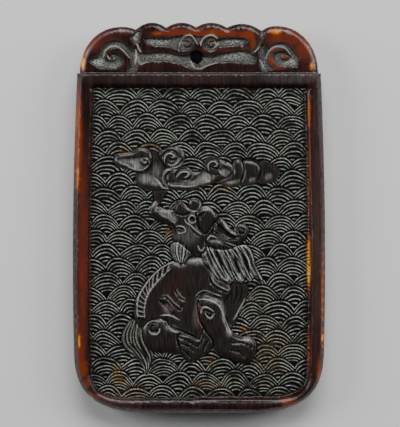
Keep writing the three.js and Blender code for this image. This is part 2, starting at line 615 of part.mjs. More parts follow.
// Facets over the plate: triangles that know their neighbours, kept well shaped by flipping edges.
class Facets {
  constructor(outline) {
    this.points = outline.map(([x, y]) => [x, y, carvedHeight(x, y)]);
    this.corners = [];
    this.twins = [];
    const loop = outline.map(([x, y]) => new THREE.Vector2(x, y));
    const sides = new Map();
    THREE.ShapeUtils.triangulateShape(loop, []).forEach(([a, b, c]) => {
      this.corners.push(a, b, c);
      this.twins.push(-1, -1, -1);
    });
    this.corners.forEach((from, edge) => sides.set(`${from},${this.corners[next(edge)]}`, edge));
    this.corners.forEach((from, edge) => {
      this.twins[edge] = sides.get(`${this.corners[next(edge)]},${from}`) ?? -1;
    });
    for (let edge = 0; edge < this.corners.length; edge += 1) {
      this.settle([edge]);
    }
  }

  get count() {
    return this.corners.length / 3;
  }

  triangle(index) {
    return [0, 1, 2].map((k) => this.points[this.corners[3 * index + k]]);
  }

  link(edge, twin) {
    this.twins[edge] = twin;
    if (twin >= 0) {
      this.twins[twin] = edge;
    }
  }

  // Swaps the diagonal of the two triangles that share an edge.
  flip(edge) {
    const twin = this.twins[edge];
    const a = next(edge);
    const b = next(a);
    const c = next(twin);
    const d = next(c);
    const left = this.twins[b];
    const right = this.twins[d];
    this.corners[edge] = this.corners[d];
    this.corners[twin] = this.corners[b];
    this.link(edge, right);
    this.link(twin, left);
    this.link(b, d);
  }

  // The four corners round an edge: its own two ends, then the two opposite ones.
  around(edge) {
    const twin = this.twins[edge];
    return [edge, next(edge), next(next(edge)), next(next(twin))].map((e) => this.points[this.corners[e]]);
  }

  settle(pending) {
    while (pending.length > 0) {
      const edge = pending.pop();
      const twin = this.twins[edge];
      if (twin < 0) {
        continue;
      }
      const [p, q, r, s] = this.around(edge);
      if (inCircle(p, q, r, s)) {
        this.flip(edge);
        pending.push(edge, next(edge), next(next(edge)), twin, next(twin), next(next(twin)));
      }
    }
  }

  // Puts a point into a triangle and splits it in three.
  insert(index, point) {
    const first = 3 * index;
    const [a, b, c] = [0, 1, 2].map((k) => this.corners[first + k]);
    const [ab, bc, ca] = [0, 1, 2].map((k) => this.twins[first + k]);
    const made = this.points.push(point) - 1;
    const second = this.corners.length;
    this.corners[first + 2] = made;
    this.corners.push(b, c, made, c, a, made);
    this.twins.push(-1, -1, -1, -1, -1, -1);
    this.link(first, ab);
    this.link(second, bc);
    this.link(second + 3, ca);
    this.link(first + 1, second + 2);
    this.link(second + 1, second + 5);
    this.link(second + 4, first + 2);
    this.settle([first, second, second + 3]);
  }

  // Walks from the newest triangle to the one that holds a point.
  find(point) {
    let edge = this.corners.length - 3;
    for (let step = 0; step < this.corners.length; step += 1) {
      const sides = [edge, next(edge), next(next(edge))];
      const away = sides.find((side) => turn(this.points[this.corners[side]],
        this.points[this.corners[next(side)]], point) <= 0 && this.twins[side] >= 0);
      if (away === undefined) {
        return Math.floor(edge / 3);
      }
      edge = this.twins[away];
    }
    return -1;
  }

  holds(index, point) {
    const [a, b, c] = this.triangle(index);
    return turn(a, b, point) > 0 && turn(b, c, point) > 0 && turn(c, a, point) > 0;
  }
}

function next(edge) {
  return edge % 3 === 2 ? edge - 2 : edge + 1;
}

function turn(a, b, c) {
  return (b[0] - a[0]) * (c[1] - a[1]) - (b[1] - a[1]) * (c[0] - a[0]);
}

function inCircle(a, b, c, d) {
  const [ax, ay, bx, by, cx, cy] = [a, b, c].flatMap((p) => [p[0] - d[0], p[1] - d[1]]);
  const value = (ax * ax + ay * ay) * (bx * cy - cx * by) - (bx * bx + by * by) * (ax * cy - cx * ay)
    + (cx * cx + cy * cy) * (ax * by - bx * ay);
  return value > 1e-9;
}

// Keeps points apart, so that no sliver is made.
class Spacing {
  constructor() {
    this.cells = new Map();
  }

  cell(x, y) {
    return [Math.floor(x / closestPoints), Math.floor(y / closestPoints)];
  }

  free(x, y) {
    const [column, row] = this.cell(x, y);
    for (let i = column - 1; i <= column + 1; i += 1) {
      for (let j = row - 1; j <= row + 1; j += 1) {
        const near = this.cells.get(`${i},${j}`) ?? [];
        if (near.some((p) => Math.hypot(p[0] - x, p[1] - y) < closestPoints)) {
          return false;
        }
      }
    }
    return true;
  }

  take(x, y) {
    const key = this.cell(x, y).join(",");
    this.cells.set(key, [...(this.cells.get(key) ?? []), [x, y]]);
  }
}

const facets = new Facets(plateEdge);
const spacing = new Spacing();
plateEdge.forEach(([x, y]) => spacing.take(x, y));

function addPoint(index, x, y) {
  const rimRoom = insideDistance(plateEdge, x, y);
  if (index < 0 || rimRoom < frontEdgeRun / 3 || !spacing.free(x, y) || !facets.holds(index, [x, y])) {
    return;
  }
  spacing.take(x, y);
  facets.insert(index, [x, y, carvedHeight(x, y)]);
}

// Nudges a seed a hair aside, so that no point lies exactly on an edge.
function addSeed([x, y], i) {
  const nudge = 1e-4;
  const px = x + nudge * Math.sin(12.9 * i + x);
  const py = y + nudge * Math.cos(7.3 * i + y);
  addPoint(facets.find([px, py]), px, py);
}

function inset(outline, distance) {
  return outline.map((point, i) => {
    const before = outline[(i + outline.length - 1) % outline.length];
    const after = outline[(i + 1) % outline.length];
    const length = Math.hypot(after[0] - before[0], after[1] - before[1]);
    const across = [-(after[1] - before[1]) / length, (after[0] - before[0]) / length];
    return [point[0] + across[0] * distance, point[1] + across[1] * distance];
  });
}

// Seeds along the edges of the plate, field and figures.
inset(plateEdge, 0.4 * frontEdgeRun).forEach(addSeed);
inset(plateEdge, frontEdgeRun).forEach(addSeed);
inset(fieldEdge, -sideRail / 2).filter((p) => p[1] < crestFoot - footGrooveWidth).forEach(addSeed);
fieldEdge.forEach(addSeed);
inset(fieldEdge, fieldWall).forEach(addSeed);
[-footGrooveWidth, 0, footGrooveWidth].forEach((side) => {
  const half = shoulderWidth / 2;
  const line = bow([-half, crestFoot + side], [0, crestFoot + side], [half, crestFoot + side],
    Math.round(shoulderWidth / edgeStep));
  line.forEach(addSeed);
});
forms.forEach((one, at) => {
  const covered = (p) => forms.slice(at + 1).some((other) => insideDistance(other.edge, ...p) > 0);
  one.edge.filter((p) => !covered(p)).forEach(addSeed);
  inset(one.edge, -figureWall).filter((p) => !covered(p)).forEach(addSeed);
});

// Seeds along the bottom of each cut.
cuts.forEach((one) => {
  smooth(one.line, false, cutStep).filter((p) => forms.some((each) => insideDistance(each.edge, ...p) > 0))
    .forEach(addSeed);
});

// Seeds along the foot and the brink of each ground in the crest, and on both sides of its bands.
const wallReach = crestGroundWall / 2;
grounds.forEach((one) => {
  inset(one.edge, wallReach).filter((p) => groundShare(...p) > 0.9).forEach(addSeed);
  inset(one.edge, -wallReach).filter((p) => groundShare(...p) < 0.1).forEach(addSeed);
});
bands.forEach((one) => {
  const there = smooth(one.line, false, cutStep);
  const loop = [...there, ...there.slice(1, -1).reverse()];
  [wallReach, -wallReach].forEach((reach) => {
    const beside = loop.map((point, i) => {
      const along = Math.min(i, loop.length - i) / (there.length - 1);
      return inset(loop, -halfAt(one.halves, along) - reach)[i];
    });
    beside.filter((p) => Math.abs(groundShare(...p) - (reach > 0 ? 1 : 0)) < 0.1).forEach(addSeed);
  });
});

// Seeds along the arcs of the wave scales, where they show.
const rows = Math.ceil((fieldTop - foot) / waveRow) + 1;
const columns = Math.ceil(plaqueWidth / wavePitch / 2) + 1;
for (let row = -1; row < rows; row += 1) {
  for (let column = -columns; column <= columns; column += 1) {
    lipArcs.forEach((arc, level) => {
      const radius = waveRadius - arc * waveArcShrink;
      const shift = waveAside + (row % 2 === 0 ? 0 : wavePitch / 2) + column * wavePitch;
      const steps = lipSteps[level];
      for (let i = 0; i <= steps; i += 1) {
        const angle = mix(-lipTurn, lipTurn, i / steps);
        const px = shift + radius * Math.sin(angle);
        const drop = waveRadius + arc * (waveArcDrop - waveArcShrink) - radius * Math.cos(angle);
        const py = fieldTop - waveFromTop - row * waveRow - drop;
        const [wx, wy] = wander(px, py);
        const point = [px - wx, py - wy];
        const found = waveScale(point[0], point[1] - lipProbe);
        const shows = found.row === row && found.column === column;
        if (shows && onWaves(...point)) {
          addSeed(point, i);
        }
      }
    });
  }
}

// Adds the point that is furthest from the carved face, facet by facet, up to the budget. A round
// mends only the worst facets.
const roundShare = 1 / 14;
const samples = [[1, 1, 1], [4, 1, 1], [1, 4, 1], [1, 1, 4], [3, 3, 1], [3, 1, 3], [1, 3, 3]];

function worstPoint(index) {
  const [a, b, c] = facets.triangle(index);
  let worst = { error: 0, index, key: facets.corners.slice(3 * index, 3 * index + 3).join(",") };
  samples.forEach(([u, v, w]) => {
    const sum = u + v + w;
    const [x, y, z] = [0, 1, 2].map((k) => (u * a[k] + v * b[k] + w * c[k]) / sum);
    const weight = onWaves(x, y) ? waveCare : 1;
    const error = Math.abs(carvedHeight(x, y) - z) * weight * Math.sqrt(turn(a, b, c));
    worst = error > worst.error ? { ...worst, error, x, y } : worst;
  });
  return worst;
}

const known = new Map();
while (facets.count < faceBudget) {
  const found = [];
  for (let index = 0; index < facets.count; index += 1) {
    const key = facets.corners.slice(3 * index, 3 * index + 3).join(",");
    if (!known.has(key)) {
      known.set(key, worstPoint(index));
    }
    found.push({ ...known.get(key), index });
  }
  found.sort((p, q) => q.error - p.error);
  const before = facets.count;
  found.slice(0, Math.ceil(before * roundShare)).forEach((one) => {
    const key = facets.corners.slice(3 * one.index, 3 * one.index + 3).join(",");
    if (one.error > 0 && key === one.key && facets.count < faceBudget) {
      addPoint(one.index, one.x, one.y);
    }
  });
  if (facets.count === before) {
    break;
  }
}

// How far an edge between two points lies from the carved face.
function missOf(a, b) {
  const gap = (share) => Math.abs(
    carvedHeight(mix(a[0], b[0], share), mix(a[1], b[1], share)) - mix(a[2], b[2], share));
  return gap(0.35) + gap(0.65);
}

// Turns each edge the way that lies nearer the carved face, so that facets follow its ridges.
const leastTurn = 0.004;
const clearGain = 0.8;
for (let pass = 0; pass < 2; pass += 1) {
  for (let edge = 0; edge < facets.corners.length; edge += 1) {
    if (facets.twins[edge] > edge) {
      const [p, q, r, s] = facets.around(edge);
      const convex = Math.min(turn(s, q, r), turn(r, p, s)) > leastTurn;
      if (convex && missOf(r, s) < clearGain * missOf(p, q)) {
        facets.flip(edge);
      }
    }
  }
}

// Closes the carved face with the sides and the flat back.
function plateSolid() {
  const points = facets.points.map((p) => [...p]);
  const faces = [];
  for (let i = 0; i < facets.corners.length; i += 3) {
    faces.push(facets.corners.slice(i, i + 3));
  }
  const count = plateEdge.length;
  let above = 0;
  [[backEdge, plateEdge], [0, inset(plateEdge, backEdge)]].forEach(([height, ring]) => {
    const below = points.length;
    ring.forEach(([x, y], i) => {
      const j = (i + 1) % count;
      points.push([x, y, height]);
      faces.push([above + i, below + i, below + j], [above + i, below + j, above + j]);
    });
    above = below;
  });
  const back = inset(plateEdge, backEdge).map(([x, y]) => new THREE.Vector2(x, y));
  THREE.ShapeUtils.triangulateShape(back, []).forEach(([a, b, c]) => {
    faces.push([above + a, above + c, above + b]);
  });
  const geometry = new THREE.BufferGeometry();
  geometry.setAttribute("position", new THREE.Float32BufferAttribute(points.flat(), 3));
  geometry.setIndex(faces.flat());
  return geometry;
}

// The cord bore, with a small bevel at both mouths.
function boreSolid() {
  const radius = cordBore / 2;
  const wide = radius + 2 * cordBoreBevel;
  const face = faceHeight - crestSink;
  const profile = [[0, -cordBoreBevel], [wide, -cordBoreBevel], [radius, cordBoreBevel],
    [radius, face - cordBoreBevel], [wide, face + cordBoreBevel], [0, face + cordBoreBevel]];
  const geometry = new THREE.LatheGeometry(profile.map((p) => new THREE.Vector2(...p)), 20);
  geometry.rotateX(Math.PI / 2);
  geometry.translate(cordBoreAside, top - cordBoreBelowTop, 0);
  return geometry;
}

const wasm = await Module();
wasm.setup();

function solidOf(geometry) {
  const bare = geometry.clone();
  bare.deleteAttribute("normal");
  bare.deleteAttribute("uv");
  const merged = mergeVertices(bare);
  return new wasm.Manifold(new wasm.Mesh({
    numProp: 3,
    vertProperties: new Float32Array(merged.attributes.position.array),
    triVerts: new Uint32Array(merged.index.array),
  }));
}

function geometryOf(solid) {
  const mesh = solid.getMesh();
  const geometry = new THREE.BufferGeometry();
  geometry.setAttribute("position", new THREE.BufferAttribute(mesh.vertProperties, 3));
  geometry.setIndex(new THREE.BufferAttribute(mesh.triVerts, 1));
  geometry.computeVertexNormals();
  return geometry;
}

// Dark polished horn.
const horn = new THREE.MeshStandardMaterial({ color: "#3b241a", roughness: 0.35, metalness: 0 });

const plaque = new THREE.Mesh(geometryOf(solidOf(plateSolid()).subtract(solidOf(boreSolid()))), horn);
plaque.name = "plaque";

const model = new THREE.Group();
model.add(plaque);

export default model;
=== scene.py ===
import bpy
import numpy as np
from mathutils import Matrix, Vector
from mathutils.geometry import delaunay_2d_cdt


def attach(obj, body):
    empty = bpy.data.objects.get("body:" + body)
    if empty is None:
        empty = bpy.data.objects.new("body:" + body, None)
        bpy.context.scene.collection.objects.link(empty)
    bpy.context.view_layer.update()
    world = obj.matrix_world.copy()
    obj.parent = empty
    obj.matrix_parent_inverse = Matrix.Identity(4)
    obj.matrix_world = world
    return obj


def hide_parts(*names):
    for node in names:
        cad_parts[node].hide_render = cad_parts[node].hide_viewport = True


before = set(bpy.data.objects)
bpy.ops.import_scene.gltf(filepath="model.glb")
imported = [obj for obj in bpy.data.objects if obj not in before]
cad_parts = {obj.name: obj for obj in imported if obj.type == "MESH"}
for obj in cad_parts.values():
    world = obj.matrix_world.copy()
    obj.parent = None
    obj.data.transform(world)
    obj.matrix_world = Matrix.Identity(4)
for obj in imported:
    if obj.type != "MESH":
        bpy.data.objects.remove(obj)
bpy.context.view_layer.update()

# Table and light: the plaque lies on its back on a plain pale table, seen from straight above.
# One large soft light stands beyond its top, and a weaker one on either side. Sizes in metres.
mm = 0.001
photo_width = 400
photo_height = 427
mm_per_pixel = 0.18
plaque_middle = (199, 217.75)
eye_height = 0.55
face_level = 0.006
film_width = 36

table_size = 2.4
table_drop = 0.05 * mm
bpy.ops.mesh.primitive_plane_add(size=table_size, location=(0, 0, -table_drop))
table = bpy.context.object
table.name = "pale_table"

view_x = (photo_width / 2 - plaque_middle[0]) * mm_per_pixel * mm
view_y = (plaque_middle[1] - photo_height / 2) * mm_per_pixel * mm
camera_data = bpy.data.cameras.new("view_from_above")
camera_data.sensor_fit = "HORIZONTAL"
camera_data.sensor_width = film_width
camera_data.lens = film_width * (eye_height - face_level) / (photo_width * mm_per_pixel * mm)
camera_data.clip_start = 0.01
camera = bpy.data.objects.new("view_from_above", camera_data)
camera.location = (view_x, view_y, eye_height)
bpy.context.scene.collection.objects.link(camera)
bpy.context.scene.camera = camera

soft_lights = [
    ("top_light", (0.05, 0.47, 0.5), 0.46, 3.6),
    ("right_light", (0.52, 0.22, 0.36), 0.34, 1.8),
    ("left_light", (-0.52, 0.16, 0.36), 0.34, 1.8),
]
for light_name, spot, across, watts in soft_lights:
    lamp_data = bpy.data.lights.new(light_name, "AREA")
    lamp_data.size = across
    lamp_data.energy = watts
    lamp = bpy.data.objects.new(light_name, lamp_data)
    lamp.location = spot
    lamp.rotation_euler = Vector(spot).to_track_quat("Z", "Y").to_euler()
    bpy.context.scene.collection.objects.link(lamp)


def linear(colour):
    """Turns an sRGB hex colour into Blender's linear one."""
    parts = [int(colour[i:i + 2], 16) / 255 for i in (1, 3, 5)]
    return tuple(p / 12.92 if p <= 0.04045 else ((p + 0.055) / 1.055) ** 2.4 for p in parts) + (1,)


room = bpy.data.worlds.new("room")
room.use_nodes = True
room_light = room.node_tree.nodes["Background"]
room_light.inputs["Color"].default_value = linear("#f3f9ff")
room_light.inputs["Strength"].default_value = 0.06
bpy.context.scene.world = room


def add(tree, kind, inputs=(), **settings):
    """Adds one node, sets it and its sockets, and links what comes from other nodes."""
    made = tree.nodes.new(kind)
    for name, value in settings.items():
        setattr(made, name, value)
    for socket, value in dict(inputs).items():
        if isinstance(value, bpy.types.NodeSocket):
            tree.links.new(value, made.inputs[socket])
        else:
            made.inputs[socket].default_value = value
    return made


# Painted board: a matt emulsion coat, which shows only as an even pale ground.
board = bpy.data.materials.new("Matt_painted_board")
board.use_nodes = True
board_shader = board.node_tree.nodes["Principled BSDF"]
board_shader.inputs["Base Color"].default_value = linear("#f3f4f2")
board_shader.inputs["Roughness"].default_value = 0.85
table.data.materials.append(board)

# Plate: one flat plate of dark horn, sawn to a rounded tablet with a lobed crest. Its face is
# drawn here as heights over the back, in millimetres, on a close grid that the carving is cut
# into. The rails stand proud with rounded edges, and the field between them is sunk.
plaque_width = 45.4
shoulder_draw_in = 0.75
foot_draw_in = 0.2
crest_draw_in = 1.25
body_height = 61.15
crest_height = 9.15
corner_rise = 10.3
corner_run = 13
belly_place = 0.45
plaque_thickness = 6.5
side_rail = 2.5
top_rail = 2.45
bottom_rail = 2.25
field_aside = 0.2
field_corner = 5.0
field_corner_run = 6.7
field_top_corner = 0.8
field_depth = 1.5
field_wall_left = 0.45
field_wall_right = 0.9
field_wall_top = 0.14
rail_crown = 0.22
sanding_unevenness = 0.05
brink_round = 0.3
brink_run = 0.62
front_edge_run = 0.75
front_edge_drop = 0.72
back_edge = 0.6
crest_notches = [-11.43, -5.94, -0.54, 5.04, 11.34]
notch_drops = [1.28, 0.92, 0.83, 0.92, 1.55]
lobe_rise = [1.1, 0.87, 0.87, 1.0]
shoulder_lobe = 2.5
shoulder_drops = [0.75, 0.6]
shoulder_round = 0.62
notch_run = 0.9
crest_sink = 0.2
foot_groove_depth = 0.24
foot_groove_width = 0.32
cell = 0.1

shoulder_width = plaque_width - 2 * shoulder_draw_in
foot_width = plaque_width - 2 * foot_draw_in
crest_width = plaque_width - 2 * crest_draw_in
top = (body_height + crest_height) / 2
foot = -top
crest_foot = foot + body_height
face_height = plaque_thickness - rail_crown
field_floor = face_height - field_depth
field_top = crest_foot - top_rail


def bezier(*handles):
    """A curve with two or three handles, as close points."""
    t = np.linspace(0, 1, 61)[:, None]
    line = [np.array(handle, float) for handle in handles]
    while len(line) > 1:
        line = [(1 - t) * a + t * b for a, b in zip(line, line[1:])]
    return line[0]


def evenly(line, step):
    """The same closed line with its points a step apart."""
    ring = np.vstack([line, line[:1]])
    run = np.concatenate([[0], np.cumsum(np.hypot(*np.diff(ring, axis=0).T))])
    at = np.linspace(0, run[-1], int(run[-1] / step), endpoint=False)
    return np.column_stack([np.interp(at, run, ring[:, 0]), np.interp(at, run, ring[:, 1])])


def mirrored(line):
    """The same line on the other side, run the other way."""
    return (line * [-1, 1])[::-1]


def side_line(inset, from_y, to_y):
    """The bellied right side of the plate, or a line set in from it."""
    shoulder = shoulder_width / 2 - inset
    low = foot_width / 2 - inset
    belly = 2 * (plaque_width / 2 - inset) - (shoulder + low) / 2
    return bezier((low, from_y), (belly, from_y + belly_place * (to_y - from_y)), (shoulder, to_y))


def crest_outline():
    """The crest's edge from right to left, over its shoulders and lobes."""
    half = crest_width / 2
    half_up = (crest_foot + top) / 2
    notches = [(x, top - drop) for x, drop in zip(crest_notches, notch_drops)]
    left_top = (notches[0][0] - shoulder_lobe, top - shoulder_drops[0])
    right_top = (notches[-1][0] + shoulder_lobe, top - shoulder_drops[1])
    lines = [bezier((half, crest_foot), (half, half_up),
                    (right_top[0] + shoulder_round * (half - right_top[0]), right_top[1]), right_top),
             bezier(right_top, (notches[-1][0] + notch_run, right_top[1]), notches[-1])]
    for a, b, rise in zip(notches[:0:-1], notches[-2::-1], lobe_rise[::-1]):
        lines.append(bezier(a, ((a[0] + b[0]) / 2, (a[1] + b[1]) / 2 + 2 * rise), b))
    lines.append(bezier(notches[0], (notches[0][0] - notch_run, left_top[1]), left_top))
    lines.append(bezier(left_top, (left_top[0] - shoulder_round * (half + left_top[0]), left_top[1]),
                        (-half, half_up), (-half, crest_foot)))
    return np.vstack(lines)


corner_top = foot + corner_rise
corner_start = plaque_width / 2 - corner_run
foot_side = foot_width / 2
corner = bezier((corner_start, foot), (foot_side - 0.3 * corner_run, foot + 0.03 * corner_rise),
                (foot_side - 0.02 * corner_run, foot + 0.33 * corner_rise), (foot_side, corner_top))
right_side = np.vstack([corner, side_line(0, corner_top, crest_foot)])
plate_edge = evenly(np.vstack([right_side, crest_outline(), mirrored(right_side)]), 0.15)

field_low = foot + bottom_rail
field_side = side_line(side_rail, field_low + field_corner, field_top - field_top_corner)
field_start = field_side[0, 0] - field_corner_run
field_bottom = bezier((field_start, field_low), (field_start + 0.6 * field_corner_run, field_low),
                      (field_side[0, 0], field_low + 0.35 * field_corner), field_side[0])
field_shoulder = bezier(field_side[-1], (field_side[-1, 0], field_top),
                        (field_side[-1, 0] - field_top_corner, field_top))
field_right = np.vstack([field_bottom, field_side, field_shoulder])
field_edge = evenly(np.vstack([field_right, mirrored(field_right)]), 0.4) + [field_aside, 0]

# X and Y are the grid's places across and up the plaque, and face is its height there.
grid_edge = 1.5
xs = np.arange(-plaque_width / 2 - grid_edge, plaque_width / 2 + grid_edge, cell)
ys = np.arange(foot - grid_edge, top + grid_edge, cell)
X, Y = np.meshgrid(xs, ys)


def around(line, margin):
    """The part of the grid round a line."""
    low = line.min(axis=0) - margin
    high = line.max(axis=0) + margin
    rows, columns = (slice(*np.searchsorted(at, [low[i], high[i]])) for at, i in ((ys, 1), (xs, 0)))
    return rows, columns


def line_gap(line, x, y):
    """Distance to an open line, and how far along it the nearest point lies, from 0 to 1."""
    nearest = np.full(x.shape, np.inf)
    along = np.zeros(x.shape)
    count = len(line) - 1
    for i, ((ax, ay), (bx, by)) in enumerate(zip(line, line[1:])):
        dx = bx - ax
        dy = by - ay
        share = np.clip(((x - ax) * dx + (y - ay) * dy) / (dx * dx + dy * dy + 1e-12), 0, 1)
        gap = (x - ax - share * dx) ** 2 + (y - ay - share * dy) ** 2
        closer = gap < nearest
        nearest = np.where(closer, gap, nearest)
        along = np.where(closer, (i + share) / count, along)
    return np.sqrt(nearest), along


def within(edge, x, y):
    """Whether points lie inside a closed line."""
    inside = np.zeros(x.shape, bool)
    for (ax, ay), (bx, by) in zip(edge, np.roll(edge, -1, axis=0)):
        if ay != by:
            inside ^= ((ay > y) != (by > y)) & (x < ax + (y - ay) * (bx - ax) / (by - ay))
    return inside


def depth_in(edge, x, y):
    """Distance to a closed line, positive inside it."""
    gap = line_gap(np.vstack([edge, edge[:1]]), x, y)[0]
    return np.where(within(edge, x, y), gap, -gap)


def ease(share):
    """A smooth step from 0 to 1."""
    share = np.clip(share, 0, 1)
    return share * share * (3 - 2 * share)


def mottle(x, y, across, along, seed):
    """Smooth unevenness from 0 to 1, in patches of the given size."""
    chances = np.random.default_rng(seed).random((97, 97))
    u = x / across + 41.3
    v = y / along + 57.9
    i = np.floor(u).astype(int)
    j = np.floor(v).astype(int)
    fu = ease(u - i)
    fv = ease(v - j)
    corners = [[chances[(i + a) % 97, (j + b) % 97] for a in (0, 1)] for b in (0, 1)]
    rows = [low * (1 - fu) + high * fu for low, high in corners]
    return rows[0] * (1 - fv) + rows[1] * fv


def blur(heights, reach):
    """Heights evened out over a reach in millimetres."""
    fy = np.fft.fftfreq(heights.shape[0], cell)[:, None]
    fx = np.fft.rfftfreq(heights.shape[1], cell)[None, :]
    fade = np.exp(-2 * (np.pi * reach) ** 2 * (fx ** 2 + fy ** 2))
    return np.fft.irfft2(np.fft.rfft2(heights) * fade, heights.shape)


edge_band = 4.2
stretches = 60
to_edge = np.full(X.shape, edge_band)
for part in np.array_split(np.arange(len(plate_edge)), stretches):
    piece = plate_edge[np.append(part, (part[-1] + 1) % len(plate_edge))]
    window = around(piece, edge_band)
    to_edge[window] = np.minimum(to_edge[window], line_gap(piece, X[window], Y[window])[0])
on_plate = np.zeros(X.shape, bool)
for (ax, ay), (bx, by) in zip(plate_edge, np.roll(plate_edge, -1, axis=0)):
    rows = slice(*np.searchsorted(ys, sorted([ay, by])))
    on_plate[rows] ^= xs[None, :] < ax + (ys[rows, None] - ay) * (bx - ax) / ((by - ay) or 1)
inner = depth_in(field_edge, X, Y)
rim = np.where(on_plate, to_edge, 0)

rounding = np.clip(rim / front_edge_run, 0, 1)
face = face_height - front_edge_drop * (1 - rounding)
across_rail = np.clip(rim / np.maximum(rim - inner, 0.1), 0, 1)
on_rails = (inner < 0) & (Y < crest_foot)
face += np.where(on_rails, rail_crown * 4 * across_rail * (1 - across_rail), 0)
face -= np.where(Y >= crest_foot, crest_sink * rounding, 0)
face -= sanding_unevenness * mottle(X, Y, 2.6, 7.0, 11) * rounding
brink_reach = 0.5
brink_drop = np.where(Y > field_top - brink_reach, brink_round, 0)
face -= np.where(on_rails, brink_drop * ease(1 + inner / brink_run), 0)
brink_height = face_height - brink_drop
foot_groove = np.clip(1 - np.abs(Y - crest_foot) / foot_groove_width, 0, 1)
face -= foot_groove_depth * foot_groove

# Wave field: the ground round the figures, cut with a graver into rows of wave scales. Each row
# lies half a scale aside and over the row above it, and each scale holds up to six fine arcs.
wave_pitch = 5.18
wave_row = 2.58
arc_bend = 0.2
arc_roundness = 2.2
arc_drop = 0.66
wave_from_top = 2.55
wave_aside = 4.05
wave_wander = 0.14
wave_rise = 0.36
scale_slip = 0.3
scale_tilt = 0.1
arc_wobble = 0.42
last_arc = 5
ridge_sharpness = 2.8
swell_height = 0.12
crumbled_foot = 1.1
scale_edge = 0.45
cover_edge = 0.42
cover_run = 0.6


def chance(row, column, seed):
    """A number from 0 to 1 that stays with one wave scale."""
    value = np.sin(row * 12.9898 + column * 78.233 + seed * 37.719) * 43758.5453
    return value - np.floor(value)


def wave_arcs(x, y):
    """Which arc each point lies on, whole on its ridge, its scale, and how free of the next row it is."""
    wx = wave_wander * (np.sin(0.9 * y + 0.31 * x) + np.sin(0.53 * x - 0.4 * y + 1.7))
    wy = wave_wander * (np.sin(0.8 * x + 0.27 * y + 0.6) + np.sin(0.47 * y - 0.62 * x + 2.9))
    down = field_top - wave_from_top - (y + wy)
    nearest = np.floor(down / wave_row)
    found = np.full(x.shape, np.nan)
    number = np.zeros(x.shape)
    closeness = np.ones(x.shape)
    free = np.ones(x.shape)
    over = np.full(x.shape, -np.inf)
    for back in (-1, 0, 1, 2):
        row = nearest - back
        shift = wave_aside + np.where(row % 2 == 0, 0, wave_pitch / 2)
        best = np.full(x.shape, -np.inf)
        owner = np.zeros(x.shape)
        close = np.ones(x.shape)
        first = np.floor((x + wx - shift) / wave_pitch)
        for column in (first, first + 1):
            slip_x = scale_slip * (2 * chance(row, column, 1) - 1)
            slip_y = scale_slip * (2 * chance(row, column, 2) - 1)
            dx = x + wx - shift - column * wave_pitch + slip_x
            tilt = scale_tilt * (2 * chance(row, column, 3) - 1)
            bend = arc_bend * (0.85 + 0.35 * chance(row, column, 6))
            below = down - row * wave_row + slip_y + tilt * dx
            arc = (below - bend * np.abs(dx) ** arc_roundness) / arc_drop
            better = arc > best
            best = np.where(better, arc, best)
            owner = np.where(better, row * 31 + column, owner)
            close = np.where(better, 0.9 + 0.22 * chance(row, column, 4), close)
        take = np.isnan(found) & (best >= -scale_edge)
        found = np.where(take, best, found)
        number = np.where(take, owner, number)
        closeness = np.where(take, close, closeness)
        free = np.where(take, np.clip((-cover_edge - over) / cover_run, 0, 1), free)
        over = np.maximum(over, best)
    return np.where(np.isnan(found), last_arc + 0.5, found * closeness), number, free


arc, scale_number, free_of_next = wave_arcs(X, Y)
wobble = mottle(X + 3 * scale_number, Y, 1.6, 0.9, 23) - 0.5
wobbly = arc + arc_wobble * wobble * np.clip(arc + 0.3, 0, 1)
crest_of_arc = (0.5 + 0.5 * np.cos(2 * np.pi * wobbly)) ** ridge_sharpness * free_of_next
crest_of_arc = np.where(wobbly > last_arc + 0.5, 0, crest_of_arc)
hand = 0.3 + 0.95 * mottle(X, Y, 0.9, 0.5, 21) + 0.5 * (mottle(X, Y, 3, 2.4, 22) - 0.5)
scale_swell = swell_height * np.clip(1 - np.maximum(arc, 0) / (last_arc + 1), 0, 1)
wall = np.where(X > 0, field_wall_right, field_wall_left)
wall = np.where(field_top - Y < wall, field_wall_top, wall)
off_wall = np.clip((inner - wall) / crumbled_foot, 0, 1)
chips = 0.5 * (1 - off_wall) * mottle(X, Y, 0.34, 0.3, 24) * mottle(X, Y, 1.4, 1.1, 25)
waves = wave_rise * (crest_of_arc * hand * (0.5 + 0.5 * off_wall) + chips) + scale_swell
sunk = ease(inner / wall)
uncut = np.where(inner > 0, brink_height + (field_floor - brink_height) * sunk, face)
face = uncut + np.where(inner > 0, waves * sunk, 0)
wave_ground = np.clip(inner / wall - 0.6, 0, 1)

# Cloud and beast: left standing when the ground was cut down, rounded over and polished, then
# engraved. Both are drawn on squared paper, x to the right and y down, and placed at their size.
beast_height = 31.9
beast_aside = -0.55
beast_above_foot = 22.8
beast_rise = 1.3
cloud_length = 29.6
cloud_aside = -0.4
cloud_below_top = 14.75
cloud_rise = 1.05
figure_wall = 0.24
figure_edge = 0.55
drawn_beast_height = 177
drawn_cloud_length = 164.5
cut_end = 0.45
glint = np.zeros(X.shape)
rubbed_and_sheen = np.zeros(X.shape)


def paper(middle, across, up, at):
    """Places points of a drawing on the plaque."""
    def placed(points):
        p = np.array(points, float)
        x = at[0] + (p[:, 0] - middle[0]) * across
        y = at[1] - (p[:, 1] - middle[1]) * up
        return np.column_stack([x, y])
    return placed


on_beast = paper((196, 286.5), beast_height / drawn_beast_height, beast_height / drawn_beast_height,
                 (beast_aside, foot + beast_above_foot))
on_cloud = paper((197, 170), cloud_length / drawn_cloud_length, cloud_length / drawn_cloud_length,
                 (cloud_aside, field_top - cloud_below_top))


